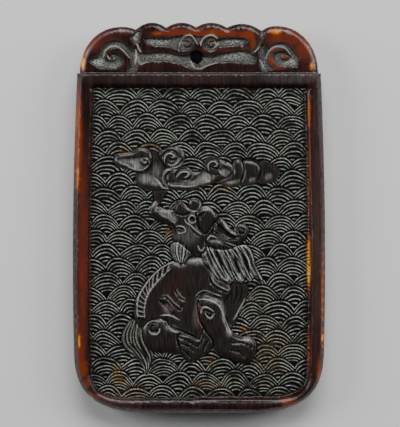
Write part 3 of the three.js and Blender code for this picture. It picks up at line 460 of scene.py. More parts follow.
def smooth(points, closed=False):
    """A smooth line through points, with six steps from each to the next."""
    p = np.array(points, float)
    if closed:
        p = np.vstack([p[-1:], p, p[:2]])
    else:
        p = np.vstack([2 * p[:1] - p[1:2], p, 2 * p[-1:] - p[-2:-1]])
    t = np.linspace(0, 1, 6, endpoint=False)[:, None]
    line = []
    for a, b, c, d in zip(p, p[1:], p[2:], p[3:]):
        ab, bc, cd = (max(np.linalg.norm(v) ** 0.5, 1e-6) for v in (b - a, c - b, d - c))
        leave = bc * ((b - a) / ab - (c - a) / (ab + bc) + (c - b) / bc)
        reach = bc * ((c - b) / bc - (d - b) / (bc + cd) + (d - c) / cd)
        line.append((2 * t ** 3 - 3 * t ** 2 + 1) * b + (t ** 3 - 2 * t ** 2 + t) * leave
                    + (-2 * t ** 3 + 3 * t ** 2) * c + (t ** 3 - t ** 2) * reach)
    return np.vstack(line if closed else line + [p[-2:-1]])


figure = np.zeros(X.shape)
hair = np.zeros(X.shape)


def stand(draw, rise, rounded, points, edge_share=figure_edge, hairy=0.0):
    """Leaves a rounded form standing over the field."""
    edge = smooth(draw(points), closed=True)
    window = around(edge, figure_wall)
    depth = depth_in(edge, X[window], Y[window])
    share = np.clip(depth / rounded, 0, 1)
    brink = field_floor + edge_share * rise
    dome = brink + (1 - edge_share) * rise * np.sqrt(1 - (1 - share) ** 2)
    slope = ease(-depth / figure_wall)
    face[window] = np.where(depth >= 0, dome, brink + (face[window] - brink) * slope)
    figure[window] = np.maximum(figure[window], 1 - slope)
    hair[window] = np.where(depth >= 0, hairy, hair[window])


def cut(draw, depth, width, points, ends=cut_end):
    """Cuts a groove with a graver, tapering from its middle to both ends."""
    line = smooth(draw(points))
    window = around(line, width)
    gap, along = line_gap(line, X[window], Y[window])
    half = width * (ends + (1 - ends) * np.sin(np.pi * along))
    face[window] -= depth * np.maximum(1 - gap / half, 0)


def bead(draw, height, width, points, ends=0.4):
    """Leaves a fine rounded ridge standing along a line."""
    line = smooth(draw(points))
    window = around(line, width)
    gap, along = line_gap(line, X[window], Y[window])
    half = width * (ends + (1 - ends) * np.sin(np.pi * along) ** 0.6)
    swell = np.sqrt(np.maximum(1 - (gap / half) ** 2, 0))
    face[window] += height * swell
    glint[window] = np.maximum(glint[window], ease(swell))


def scoop(draw, depth, wall_run, points, grey=0.0):
    """Hollows out a patch with a round gouge, deepest in its middle, and greys its floor, partly as a
    painted sheen.
    """
    edge = smooth(draw(points), closed=True)
    window = around(edge, 0)
    share = np.clip(depth_in(edge, X[window], Y[window]) / wall_run, 0, 1)
    face[window] -= depth * np.sin(share * np.pi / 2)
    rubbed_and_sheen[window] = np.maximum(rubbed_and_sheen[window], grey * ease(share * 1.4 - 0.2))


def coil(middle, outer, inner_radius, start, turns):
    """Points of a spiral in the drawing."""
    share = np.linspace(0, 1, int(round(abs(turns) * 12)) + 1)
    angle = start + share * turns * 2 * np.pi
    radius = outer + share * (inner_radius - outer)
    return np.column_stack([middle[0] + radius * np.cos(angle), middle[1] + radius * np.sin(angle)])


def strands(draw, depth, width, left, right, count, slip=0.0):
    """Cuts strands of hair side by side between two lines."""
    a = np.array(left, float)
    b = np.array(right, float)
    for i in range(1, count + 1):
        share = i / (count + 1)
        line = a + (b - a) * share
        line[:, 0] += slip * np.sin(2.6 * i + 0.9 * np.arange(len(line)))
        cut(draw, depth * (0.8 + 0.4 * chance(i, count, 5)), width, line)


def soft_spots(draw, x, y, ovals):
    """How strongly points lie in soft ovals of a drawing, each with its middle, reach and strength."""
    share = np.zeros(x.shape)
    for across, down, reach_across, reach_down, strength in ovals:
        at, corner = draw([(across, down), (across + reach_across, down + reach_down)])
        out = np.hypot((x - at[0]) / (corner[0] - at[0]), (y - at[1]) / (corner[1] - at[1]))
        share = np.maximum(share, strength * ease(1.4 - out))
    return share


# Each form has its share of the full rise, how far in from its edge it rounds over, and its outline.
cloud_forms = [
    (0.75, 0.6, [(150, 186), (153, 193), (154.5, 201), (149.5, 209), (158, 206), (163, 198),
        (168, 186)]),
    (0.8, 1.2, [(150, 153), (159, 155), (165, 166), (167, 174), (165, 183), (169.5, 189), (158, 191),
        (145, 190), (140, 188), (137, 181), (136.5, 175), (144, 170)]),
    (0.8, 0.7, [(259, 164), (273, 165.5), (279.5, 174), (274, 182), (262, 183.5), (256, 182)]),
    (0.9, 0.7, [(243, 163), (250, 161.5), (259.5, 166), (261.5, 172), (257, 182), (247, 185.5),
        (239, 184)]),
    (0.95, 0.7, [(232, 166), (236, 161.5), (240, 161), (244, 167), (244, 177), (240, 185), (231, 187),
        (222, 185), (216, 181)]),
    (1, 0.8, [(205, 172), (206.5, 162), (210, 159), (216, 159.5), (225, 162.5), (233, 167.5), (234, 173),
        (226, 179), (212, 183.5), (203, 180)]),
    (1, 0.9, [(159, 154), (165, 150.5), (172, 148), (180, 150.5), (184.5, 157), (182, 164), (175, 170),
        (167, 168), (161, 161)]),
    (1, 0.8, [(114.5, 162), (117, 156), (121, 154.5), (132, 153), (140, 149), (146, 149.5), (151, 154),
        (152.5, 163), (150, 171), (143, 174), (129, 169.5), (118, 167)]),
    (1, 0.8, [(166.5, 171), (175, 170.5), (186, 168), (191, 172), (198, 173.5), (206, 172), (212, 178),
        (211, 183.5), (202, 187), (190, 190), (178, 190), (169, 188.5), (164, 181)]),
]
for share_of_rise, rounded, points in cloud_forms:
    stand(on_cloud, share_of_rise * cloud_rise, rounded, points)

for depth, grey, points in [
    (0.42, 0.5, [(116.5, 160), (127, 158.5), (136, 157.5), (141, 159.5), (141, 164), (147, 167),
        (143, 170.5), (136, 170.5), (128, 167.5), (120, 164.5)]),
    (0.3, 0.95, [(166, 162), (171, 164.5), (176, 162), (182, 157), (179.5, 164), (173, 168),
        (168, 167)]),
    (0.4, 0.6, [(167, 182.5), (178, 182), (192, 181), (198, 175.5), (204, 172.5), (212, 174), (219, 176),
        (212, 181.5), (202, 186), (190, 188.5), (178, 188), (170, 187)]),
    (0.34, 0.75, [(219, 184), (231, 180.5), (241, 179), (239.5, 184), (231, 186)]),
    (0.34, 0.7, [(246.5, 184), (250.5, 178), (257, 177.5), (255.5, 182)]),
    (0.3, 0.65, [(263.5, 181.5), (266, 174.5), (273.5, 173.5), (273, 180)]),
    (0.26, 0.5, [(219, 170.5), (226, 168), (231, 172), (227, 178), (221, 176)]),
    (0.16, 0.3, [(138.5, 177), (147, 174.5), (156, 175), (162, 178), (162, 184), (152, 185),
        (141, 183)]),
]:
    scoop(on_cloud, depth, 0.5, points, grey)
# Rubbed grey on the cloud, partly a painted sheen.
rubbed_and_sheen = np.maximum(rubbed_and_sheen, soft_spots(on_cloud, X, Y, [
    (137, 166.5, 5, 2.6, 1.0), (131, 163, 6, 2.2, 0.9), (121, 161.5, 5, 2.6, 0.7),
    (141, 161, 2.4, 2.4, 0.8), (157, 172, 4, 7, 0.4), (146, 180, 7, 5, 0.6), (156, 184, 5, 3, 0.8),
    (190, 184, 14, 2.4, 0.7), (205, 180, 6, 4, 0.9),
]))
for depth, width, points in [
    (0.34, 0.32, [(142, 157.5), (140.5, 161), (141.5, 165), (145, 166.8), (148, 164.5), (149, 161)]),
    (0.3, 0.28, [(151.5, 160), (151, 166), (148, 170.5), (143, 172.5)]),
    (0.34, 0.34, [(163.5, 167), (162, 160), (164.5, 154.5), (170, 151.8), (175.5, 153.5), (177, 158.5),
        (173, 161.5), (169, 160)]),
    (0.3, 0.3, [(165.5, 166), (170, 168.3), (177, 166.5), (183, 161)]),
    (0.34, 0.34, [(175.5, 181), (175.5, 176), (178.5, 172), (184.5, 170.3), (190.5, 172.3), (191.5, 177),
        (188, 181), (182.5, 181.2)]),
    (0.34, 0.34, [(167.5, 185), (166.5, 179), (168.5, 174.5), (173, 172)]),
    (0.34, 0.32, [(208, 174), (206.5, 167), (209.5, 161.8), (216, 161), (220, 165), (217, 169.8),
        (212.5, 168.5)]),
    (0.3, 0.28, [(232.5, 168), (234, 173), (228, 179), (217, 183)]),
    (0.3, 0.28, [(243.5, 167), (243.5, 176), (240, 184)]),
    (0.3, 0.28, [(259.5, 168), (260, 174), (257, 181)]),
]:
    cut(on_cloud, depth, width, points)
for height, width, points in [
    (0.1, 0.13, [(128, 168), (136, 171), (143, 171), (148, 167)]),
    (0.16, 0.16, [(145, 159.5), (148, 160.8), (149.3, 163.5)]),
    (0.12, 0.18, [(143.5, 163.5), (145.5, 164), (146.5, 162.5)]),
    (0.14, 0.18, [(177.5, 178), (180, 174.5), (184.5, 172.8), (189, 174.2), (187.5, 177.5),
        (184.5, 178.8)]),
    (0.12, 0.16, [(164.8, 164), (165, 158.5), (168, 155), (172, 155), (174.3, 158), (171.5, 158.8)]),
    (0.1, 0.13, [(175, 147.8), (181, 150), (184.3, 155)]),
    (0.12, 0.15, [(171, 169.5), (166, 171.5), (163.6, 176), (164, 183), (168, 188.5)]),
    (0.1, 0.13, [(166, 170.3), (172, 169.3), (178, 168), (183, 163.5)]),
    (0.12, 0.15, [(209, 171.5), (208.3, 166.5), (211, 163), (215.5, 163), (217.5, 166), (214.5, 168)]),
    (0.12, 0.16, [(228, 165), (234, 169.5), (234.5, 174)]),
    (0.12, 0.17, [(154.5, 179), (159, 183), (162, 188), (168.5, 190)]),
    (0.14, 0.2, [(156, 203), (153.8, 206), (151.3, 210.5)]),
    (0.1, 0.13, [(150.5, 207.5), (149.3, 210.5)]),
    (0.1, 0.2, [(168, 165), (172, 166.6), (176, 164.6), (181, 159)]),
    (0.1, 0.13, [(187, 169.3), (190.5, 171.2), (191.6, 174)]),
]:
    bead(on_cloud, height, width, points)

beast_forms = [
    (0.62, 0.8, [(132, 320), (124, 330), (122, 339), (125, 347), (136, 356), (144, 366), (146.5, 375),
        (150, 367), (153, 354), (148, 343), (144, 330), (140, 320)]),
    (0.5, 0.5, [(222, 290), (236, 283), (246, 285), (247, 296), (239, 312), (233, 326), (228, 326),
        (222, 308)]),
    (0.72, 0.6, [(172, 244), (171, 252), (176, 262), (181, 268), (187, 258), (193, 250), (190, 241)]),
    (0.85, 1.5, [(136, 321), (135, 309), (138, 297), (144, 287), (152, 277), (162, 268.5), (174, 262),
        (183, 264), (190, 259.5), (206, 259), (216, 272), (229, 284), (231, 292), (222, 303), (208, 318),
        (204, 338), (186, 344), (160, 340), (143, 330)]),
    (0.9, 0.7, [(203, 246), (214, 249), (226, 249), (246, 246), (252, 254), (255, 266), (262, 280),
        (255.5, 276), (250, 281), (246, 277.5), (241, 283), (235, 279), (229, 284.5), (223, 281),
        (218, 279), (210, 270), (203, 261)]),
    (1, 1.3, [(143.5, 330), (147, 323), (154, 319.5), (161, 319), (168, 325), (186, 333), (196, 338),
        (194, 347), (184, 353), (168, 352), (153, 350.5), (145, 342)]),
    (0.85, 0.5, [(178, 335), (190, 336), (199, 339.5), (203.5, 330), (213, 341), (211, 349), (200, 357),
        (190, 362), (184, 357), (180, 349)]),
    (1, 0.9, [(198, 302), (203, 294), (214, 295.5), (222, 301), (225, 319), (231, 332), (240, 337.5),
        (251, 338), (255.5, 345), (252, 358), (244, 363), (230, 358), (216, 352), (213, 341), (206, 331),
        (200, 320)]),
    (0.92, 0.8, [(149.5, 213), (157, 207.5), (165, 209.5), (175, 212), (190, 210), (204, 212),
        (216, 217), (214, 230), (207, 238), (206, 250), (198, 255), (188, 250), (180, 243), (174.5, 240),
        (174, 231), (168, 223.5), (156, 218.5)]),
    (1, 0.5, [(175, 212), (176.5, 204), (180, 201.5), (185, 206), (191, 211), (184, 215)]),
    (1.05, 0.7, [(196, 213), (202, 208.5), (208, 207.5), (214, 213), (217, 217), (212, 226), (205, 234),
        (199, 225)]),
    (0.85, 0.6, [(189.5, 204), (191, 199.5), (196, 199), (200.5, 202), (200, 208), (195, 210.5),
        (191, 208.5)]),
    (0.85, 0.4, [(206, 241), (209.5, 234.5), (217, 236.5), (229, 243), (236, 245.5), (226, 249.5),
        (213, 248), (208, 245)]),
    (1.05, 0.5, [(221, 219), (227, 226), (232, 231.5), (239, 227.5), (244, 225), (248, 231), (244, 239),
        (236, 244), (226, 241.5), (217, 237), (212.5, 232), (214, 226)]),
]
hair_forms = {0: 0.7, 2: 1, 4: 1}
for i, (share_of_rise, rounded, points) in enumerate(beast_forms):
    stand(on_beast, share_of_rise * beast_rise, rounded, points, hairy=hair_forms.get(i, 0))

spine_outer = [(174, 262), (162, 268), (152.5, 276.5), (144.5, 287), (139, 297), (137, 308),
    (137.5, 318)]
spine_inner = [(170, 269.5), (160, 279), (151, 289.5), (147.5, 296), (145.5, 302), (144.5, 310),
    (144.5, 318)]
outer_line = smooth(spine_outer)
inner_line = smooth(spine_inner)
spine_edge = np.vstack([outer_line[2:-2:3], inner_line[-3:1:-3]])
stand(on_beast, 0.62 * beast_rise, 0.3, spine_edge, edge_share=0.95)
bead(on_beast, 0.18, 0.13, spine_outer, ends=0.6)
bead(on_beast, 0.24, 0.14, spine_inner, ends=0.6)
for i in range(2, 37, 3):
    rib_middle = (outer_line[i] + inner_line[i]) / 2
    bead(on_beast, 0.16, 0.1, [outer_line[i], rib_middle, inner_line[i]], ends=0.9)

flames = [
    [(175.5, 290.5), (179, 296), (184.5, 300.5)],
    [(161, 297.5), (166, 297), (173, 304), (180, 309.5), (181.5, 306.5)],
    [(160, 301), (170, 311), (179, 319)],
    [(160, 318), (166, 321), (172, 329), (178, 330.5), (186, 333), (195, 337)],
    [(210, 278), (212, 283), (217, 287.5), (227, 292.5)],
    [(196.5, 298), (200, 294), (205, 292.5), (214, 296), (221, 298)],
]
for points in flames:
    cut(on_beast, 0.42, 0.4, points)
scoop(on_beast, 0.3, 0.4, [(161, 301), (168, 302), (175, 311), (180, 318), (174, 317.5), (166, 310)])
for points in [
    [(161.5, 296.5), (167, 296), (174, 303), (181, 308.5)],
    [(161, 315.5), (168, 315.5), (174, 317), (179.5, 320)],
    [(176.5, 290), (180, 295.5), (185, 299.5)],
    [(211.5, 277.5), (213.5, 282), (218, 286), (228, 291)],
    [(196, 296.5), (199.5, 292.8), (205, 291), (214, 294.5), (221.5, 296.5)],
    [(198, 299.5), (206, 299.8), (212, 301.5), (218, 305), (222, 311), (225, 319), (231, 333)],
    [(143.5, 329), (146, 325.5), (150, 322.5), (153.5, 321.5), (157.5, 323.5), (159, 327)],
    [(149, 331.5), (152, 334), (156, 334.5), (159.5, 331.5), (159, 328)],
    [(160, 319), (166, 322.5), (172, 330), (179, 332)],
    [(200.5, 313), (201, 309.5), (204, 307.5), (209, 308.5), (213.5, 311.5)],
    [(205, 313.5), (208, 317.5), (211, 318.5), (214.5, 314)],
]:
    bead(on_beast, 0.12, 0.17, points)
cut(on_beast, 0.4, 0.3, coil((154, 328), 6.5, 2.2, 1.05 * np.pi, 1.25))
cut(on_beast, 0.35, 0.28, [(203.5, 312), (206.5, 310.5), (211, 313), (209.5, 316), (206.5, 314)])
cut(on_beast, 0.35, 0.3, [(200, 322), (199, 315), (201.5, 307), (198, 302)])

tail_left = [(130, 320.5), (123.5, 331), (123, 341), (133, 352.5), (143, 364), (146, 374)]
tail_right = [(143.5, 327), (146, 341), (151, 350), (153.5, 358), (151, 367), (147, 375)]
strands(on_beast, 0.42, 0.3, tail_left, tail_right, 7, slip=0.5)
strands(on_beast, 0.5, 0.42, [(202, 247), (205, 256), (211, 268), (218, 279)], [(247, 247), (252, 255),
    (256, 267), (263, 280)], 12, slip=0.9)
strands(on_beast, 0.3, 0.2, [(172.5, 243), (172, 252), (180, 266)], [(191, 243), (189, 255),
    (182, 266)], 4)
for points in [
    [(221, 250), (229, 262), (234, 275)],
    [(231, 249), (240, 261), (245, 274)],
    [(240, 248.5), (248, 259), (251, 271), (255, 277)],
    [(211, 250), (217, 262), (226, 277)],
    [(177, 244), (177, 254), (180, 263)],
    [(184, 245), (183.5, 255), (182, 262)],
]:
    bead(on_beast, 0.12, 0.13, points)

for depth, width, points in [
    (0.32, 0.26, [(232, 343.5), (240, 343), (246, 344), (252, 348)]),
    (0.32, 0.26, [(230, 350.5), (237, 351.5), (241, 353.5), (245, 357.5)]),
    (0.3, 0.25, [(178, 337), (187, 340.5), (197, 347)]),
    (0.3, 0.25, [(181, 343.5), (189, 347), (194, 352)]),
    (0.3, 0.25, [(182, 350), (187, 353), (190, 358)]),
    (0.34, 0.28, [(203, 333), (202.5, 340), (197.5, 347)]),
    (0.34, 0.28, [(209, 340), (205, 346), (202.5, 354)]),
    (0.3, 0.3, [(236, 284), (237, 293), (233, 304)]),
    (0.3, 0.24, [(241, 284), (242, 293), (238, 303)]),
    (0.34, 0.3, [(176.5, 229), (180, 228.6), (184, 230.5), (181, 231.8), (177.5, 230.5)]),
    (0.3, 0.3, [(172.5, 224), (176, 232), (175.5, 239)]),
    (0.3, 0.26, [(190, 227), (193.5, 231.5), (199, 236.5)]),
    (0.4, 0.36, [(204, 213), (199, 217), (198, 226), (203, 233)]),
    (0.35, 0.3, [(213, 231), (220, 235), (230, 239.5), (238, 239)]),
    (0.4, 0.34, [(210.5, 240), (218, 240), (227, 244.5), (233, 247)]),
    (0.38, 0.3, coil((241, 231.5), 4.6, 1.4, 2.6, 1.15)),
]:
    cut(on_beast, depth, width, points)
scoop(on_beast, 0.45, 0.35, [(216, 222), (223, 226.5), (231, 234), (240, 237), (233, 240), (223, 236),
    (215.5, 230)])
for points in [
    [(221, 219.5), (227, 226.5), (232, 232), (236.5, 236.5)],
    [(184.5, 219.5), (186.5, 223), (190, 225.2), (194, 229), (201, 234.8)],
    [(176, 226.8), (181, 226.6), (185, 229), (185.3, 231.6), (182.5, 233)],
    [(198, 246), (199.5, 250), (202, 251), (204.5, 247)],
    [(245, 299), (240, 308.5), (233.5, 320)],
    [(234, 231), (236.5, 226.5), (241, 225.5), (246, 228)],
    [(207, 240), (210.5, 236.5), (218, 238), (229, 243.5), (235.5, 246)],
    [(183, 202.5), (187, 208), (190, 210.8), (196, 211.2), (199.5, 208), (200.5, 203)],
    [(197, 209.5), (203, 207.5), (208, 207.5), (212, 211), (214.5, 215)],
]:
    bead(on_beast, 0.11, 0.15, points)
eye = (192.3, 219.6)
scoop(on_beast, 0.45, 0.3, coil(eye, 2.9, 2.9, 0, 11 / 12))
scoop(on_beast, 0.16, 0.35, [(156, 210), (163, 208.8), (171, 212), (178, 218), (175, 224), (168, 219.5),
    (160, 215.5)], grey=0.5)
bead(on_beast, 0.12, 0.13, coil(eye, 3.7, 3.7, 0.4, 0.9), ends=0.8)
# Rubbed grey on the beast, partly a painted sheen on its polished tops.
rubbed_and_sheen = np.maximum(rubbed_and_sheen, soft_spots(on_beast, X, Y, [
    (187, 236, 11, 9, 0.2), (196, 315, 3, 14, 0.2), (198, 261.5, 11, 3, 0.55), (214, 271, 3, 9, 0.55),
    (240, 277, 3, 4.5, 0.8), (227, 277.5, 2.4, 4.2, 0.75), (213, 301, 9, 2, 0.6),
    (223.5, 313, 2, 9, 0.6), (229, 331, 3, 6, 0.5), (168, 309, 5, 5, 0.4), (171, 328, 7, 2.5, 0.3),
    (247, 340, 4, 2.5, 0.8), (227, 224, 3, 6, 0.6), (217, 241, 8, 2.5, 0.5), (176, 248, 3, 5, 0.45),
    (156, 206, 2.2, 4, 0.7), (206, 209.5, 5, 1.6, 0.6),
]))

# Crest: the top of the plate, with its ground cut away round raised and polished bands. A scroll
# fills each corner, and a lobed panel with two curls lies between them over a strip of leaf.
scroll_ground = 0.6
ground_wall = 0.26
drawn_crest_width = 238.5
drawn_crest_height = 50.8
crest_middle = 198.25
on_crest = paper((crest_middle, 73.3), crest_width / drawn_crest_width, crest_height / drawn_crest_height,
                 (0, crest_foot))
ground = np.zeros(X.shape)


def cut_ground(points):
    """Cuts the ground away inside an outline."""
    edge = smooth(on_crest(points), closed=True)
    window = around(edge, 0.1)
    depth = depth_in(edge, X[window], Y[window])
    ground[window] = np.maximum(ground[window], ease(depth / ground_wall + 0.2))


def leave_band(points, widths):
    """Leaves a band standing in the ground, with its width along it in steps of the drawing."""
    line = smooth(on_crest(points))
    widths = np.array(widths) * crest_width / drawn_crest_width / 2
    window = around(line, widths.max() + ground_wall)
    gap, along = line_gap(line, X[window], Y[window])
    half = np.interp(along, np.linspace(0, 1, len(widths)), widths)
    ground[window] = np.minimum(ground[window], ease((gap - half) / ground_wall + 0.5))


for points in [
    [(89, 61), (91.5, 58), (96, 57.5), (99, 52), (103, 46), (108, 42), (115, 40.5), (122, 42), (128, 47),
        (132, 54), (133.5, 62), (132, 70), (128, 70.5), (124, 69.5), (116, 68.5), (104, 68.5),
        (97, 67.5), (93, 64.5)],
    [(130, 38), (133, 34), (136, 31), (139.7, 31), (138.5, 38), (137, 44), (133.5, 42.5)],
    [(128.5, 57), (131.5, 50), (134.5, 46), (138, 52), (140.5, 54), (137.5, 60), (136, 68), (134, 72.5),
        (130, 72.5), (129, 66)],
    [(141, 52.5), (148, 53), (155, 52), (168, 52.5), (178, 55), (190, 56), (194, 60), (196, 69),
        (188, 67), (178, 63.5), (168, 61.2), (155, 61), (146, 62), (141, 64.5), (137.5, 63), (138, 56)],
    [(203, 56), (212, 56), (222, 53.5), (232, 51.5), (241, 50.3), (249, 51.5), (252.5, 54), (255, 57),
        (254.5, 62), (250, 63.5), (235, 62), (218, 62.5), (208, 65), (198, 69.5), (199, 62)],
    [(143, 38.5), (152, 38), (165, 38.5), (176, 36), (182, 35.5), (180.5, 41), (178.5, 46), (180, 49.5),
        (176, 49), (165, 46.3), (155, 45.5), (148, 43.8)],
    [(218, 40.5), (224, 38.5), (236, 38), (244, 38.5), (247, 41), (243, 44.5), (232, 45.5), (222, 46.5),
        (217.5, 45.5)],
    [(178.5, 46), (180, 41), (184, 37), (188.5, 36), (192.5, 39), (193, 44), (191, 48.5), (186, 50.3),
        (180.5, 50)],
    [(203, 46.5), (203.5, 41.5), (207, 37.2), (211.5, 37), (216, 39.5), (218.5, 42), (217.5, 46),
        (213, 50), (208, 50.5), (204, 48.7)],
    [(192.5, 35.5), (197, 36), (202, 36.5), (199, 40.5), (197, 44.5), (195, 40.5)],
    [(261, 31), (265, 31.5), (262.5, 37), (260.5, 43), (257.5, 47), (252.5, 53), (250.5, 51.5),
        (255, 46), (258.5, 40), (259.5, 35)],
    [(258.5, 47), (262, 44), (264.5, 50), (264, 58), (265, 66), (268, 71), (262, 71.5), (259.5, 64),
        (259, 56)],
    [(263, 60), (264.5, 54), (267, 48.5), (271, 45), (276, 43), (283, 42.5), (288, 45), (292, 49),
        (295.5, 54), (298.5, 57.3), (296.5, 61.5), (296, 66.3), (289, 66.3), (282, 65.5), (276, 68),
        (267, 70)],
]:
    cut_ground(points)
leave_band([(112, 73), (121, 69.5), (126, 64), (125.5, 58), (121, 53), (115, 50.2), (109, 51.8),
    (106, 55.5), (107.5, 58.5), (111, 57.5)], [7, 8, 8.5, 9, 8, 6.5, 5.5, 4.5, 4, 4.5])
leave_band([(111, 57.2), (112.5, 57.6)], [5, 5])
leave_band([(300, 70.5), (290, 69.5), (280, 68.6), (273.5, 66), (270, 61), (270.5, 55), (275, 50.5),
    (281, 49.3), (286, 51.5), (289, 55)], [7, 6, 5.2, 5.5, 5.5, 5.5, 5, 4.6, 3.6, 1.5])
leave_band([(281.5, 57.2), (284.5, 57.3), (286.5, 57)], [3, 5.5, 4])
leave_band([(184, 44.5), (186.5, 46), (189.5, 44), (188.5, 40.5), (185, 40)], [2.4, 2.6, 2.8, 2.6, 2])
leave_band([(213, 44.5), (210.5, 46), (207.5, 44), (208.5, 40.8), (212, 40)], [2.4, 2.6, 2.8, 2.6, 2])
least_ground_light = 0.24
ground_light = np.maximum(least_ground_light, soft_spots(on_crest, X, Y, [
    (96, 62.5, 8, 4, 1.0), (112, 66.5, 12, 3, 0.55), (135, 36, 4, 6, 0.8), (157, 41, 16, 4, 0.7),
    (186, 43, 7, 7, 0.7), (212, 44, 7, 6, 0.65), (165, 56, 22, 5, 0.45), (232, 42, 14, 4, 0.5),
    (232, 56, 20, 5, 0.5), (290, 63, 8, 5, 0.8), (262, 36, 3, 8, 0.7), (261, 66, 4, 5, 0.7),
    (136, 58, 3, 10, 0.55),
]))
ground *= ease((to_edge - 0.05) / 0.4) * (Y > crest_foot - 0.6) * on_plate
arris_width = 0.07
shoulder_glint = 0.4
side_glint = 0.12
arris = np.exp(-((to_edge - front_edge_run) / arris_width) ** 2) * on_plate
on_shoulder = (Y > crest_foot) & ((X < crest_notches[0] - 1) | (X > crest_notches[-1] + 1))
on_left_side = (X < 0) & (Y < crest_foot)
arris_glint = np.where(on_shoulder, shoulder_glint, np.where(on_left_side, side_glint, 0))
glint = np.maximum(glint, arris * arris_glint)
tool_marks = 0.07 * (mottle(X, Y, 0.28, 0.28, 31) - 0.5) + 0.05 * (mottle(X, Y, 0.9, 0.5, 32) - 0.5)
face -= (scroll_ground - tool_marks) * ground
crest_bands = [
    [(103, 57), (103.3, 53.5), (105, 50), (108, 47.6), (111, 46.3), (116, 46.3), (119, 48), (122, 50.5),
        (125.5, 54), (128.5, 58)],
    [(265.5, 58.5), (267, 53.5), (269.5, 50), (273, 47.3), (278, 46.3), (283, 47), (287, 50.5),
        (290, 55)],
    [(178, 48.5), (179.5, 43), (182.5, 38.5), (187, 35.8), (191, 36.2), (194, 39.5), (196.5, 44)],
    [(200, 46), (201, 41.5), (203.5, 38), (207.5, 35.8), (212.5, 35.8), (216.5, 38.5)],
    [(218.5, 41.5), (216.5, 44.5), (213, 47.8)],
    [(136.3, 44), (137.5, 48), (140, 52.5)],
    [(138, 61.5), (140, 63.6), (146, 62)],
    [(190, 61), (191.5, 64.5), (195, 68), (199, 68.6), (207, 65.5), (217, 62.3)],
    [(258.7, 47), (256, 50), (253.5, 52)],
    [(259, 60), (261, 63.5), (263.5, 68)],
    [(107, 56), (108.2, 59), (111.5, 60.2), (114, 58)],
    [(135, 50), (135.5, 57), (133.8, 64)],
]
for points in crest_bands:
    bead(on_crest, 0.16, 0.17, points, ends=0.6)

# Cord hole: drilled through the middle of the crest, under its two curls, with its rim eased for
# the cord that ran through it.
bore = 2.2
bore_below_top = 6.25
bore_aside = -0.45
bore_bevel = 0.35
bore_middle = (bore_aside, top - bore_below_top)
from_bore = np.hypot(X - bore_middle[0], Y - bore_middle[1]) - bore / 2
face -= bore_bevel * ease(1 - from_bore / bore_bevel) * (from_bore > -0.5)

# Skin of the plaque: points of the grid, the plate's edge and the hole's rim are joined to one face,
# which is thinned where it is flat. Sides, back and the hole's wall are then closed behind it.
face_triangles = 184000
edge_gap = 0.07
edge_check = 0.4


def sample(values, x, y):
    """Values of the grid at points between its own."""
    u = np.clip((x - xs[0]) / cell, 0, len(xs) - 1.001)
    v = np.clip((y - ys[0]) / cell, 0, len(ys) - 1.001)
    i = u.astype(int)
    j = v.astype(int)
    fu = u - i
    fv = v - j
    low = values[j, i] * (1 - fu) + values[j, i + 1] * fu
    high = values[j + 1, i] * (1 - fu) + values[j + 1, i + 1] * fu
    return low * (1 - fv) + high * fv


turns_of_bore = np.linspace(0, 2 * np.pi, 72, endpoint=False)
bore_ring = np.column_stack([bore_middle[0] + bore / 2 * np.cos(turns_of_bore),
                             bore_middle[1] + bore / 2 * np.sin(turns_of_bore)])
keep = on_plate & (to_edge > edge_gap) & (from_bore > edge_gap)
rings = [plate_edge, bore_ring]
flat_points = np.vstack(rings + [np.column_stack([X[keep], Y[keep]])])


def fences_round(rings):
    """The edges of rings whose points are numbered one after another."""
    fences = []
    start = 0
    for ring in rings:
        fences += [(start + i, start + (i + 1) % len(ring)) for i in range(len(ring))]
        start += len(ring)
    return fences


def fill(points, edges):
    """Triangles over points, inside the plate's edge and outside the hole."""
    made = delaunay_2d_cdt([Vector(p) for p in points.tolist()], edges, [], 0, 1e-7, False)
    spots = np.array([tuple(p) for p in made[0]])
    triangles = np.array(made[2])
    x, y = spots[triangles].mean(axis=1).T
    solid = sample(on_plate.astype(float), x, y) > 0.5
    near_edge = sample(to_edge, x, y) < edge_check
    solid[near_edge] = within(plate_edge, x[near_edge], y[near_edge])
    solid &= np.hypot(x - bore_middle[0], y - bore_middle[1]) > bore / 2 * 0.999
    return spots, triangles[solid]


spots, triangles = fill(flat_points, fences_round(rings))
heights = sample(face, *spots.T)
rim_height = face_height - front_edge_drop
heights[:len(plate_edge)] = rim_height
# A slight ripple, taken out again after the thinning, keeps flat parts from turning into slivers.
ripple_height = 0.016
x, y = spots.T
ripple = ripple_height * np.sin(5.2 * x + 1.3 * y) * np.sin(5.0 * y - 1.1 * x)
dense = bpy.data.meshes.new("dense_face")
dense.from_pydata(np.column_stack([spots, heights + ripple]).tolist(), [], triangles.tolist())
holder = bpy.data.objects.new("dense_face", dense)
bpy.context.scene.collection.objects.link(holder)
thin = holder.modifiers.new("thin_out", "DECIMATE")
thin.ratio = face_triangles / len(triangles)
thinned = bpy.data.meshes.new_from_object(holder.evaluated_get(bpy.context.evaluated_depsgraph_get()))
bpy.data.objects.remove(holder)
bpy.data.meshes.remove(dense)

verts = np.empty(len(thinned.vertices) * 3)
thinned.vertices.foreach_get("co", verts)
verts = verts.reshape(-1, 3)
on_rim = verts[:, 2] < rim_height + 0.05
verts[:, 2] = np.where(on_rim, rim_height, sample(face, verts[:, 0], verts[:, 1]))
faces = np.array([tuple(p.vertices) for p in thinned.polygons])
bpy.data.meshes.remove(thinned)


def loops_of(faces):
    """The open edges of a skin, joined to closed loops in the order of its faces."""
    sides = np.vstack([faces[:, [0, 1]], faces[:, [1, 2]], faces[:, [2, 0]]])
    known = set(map(tuple, sides.tolist()))
    onward = {a: b for a, b in known if (b, a) not in known}
    loops = []
    while onward:
        first, at = onward.popitem()
        loop = [first]
        while at != first:
            loop.append(at)
            at = onward.pop(at)
        loops.append(loop)
    return sorted(loops, key=len, reverse=True)


outer_loop, bore_loop = loops_of(faces)
skin = [verts]
more_faces = []
total = len(verts)
inward_reach = 0.8


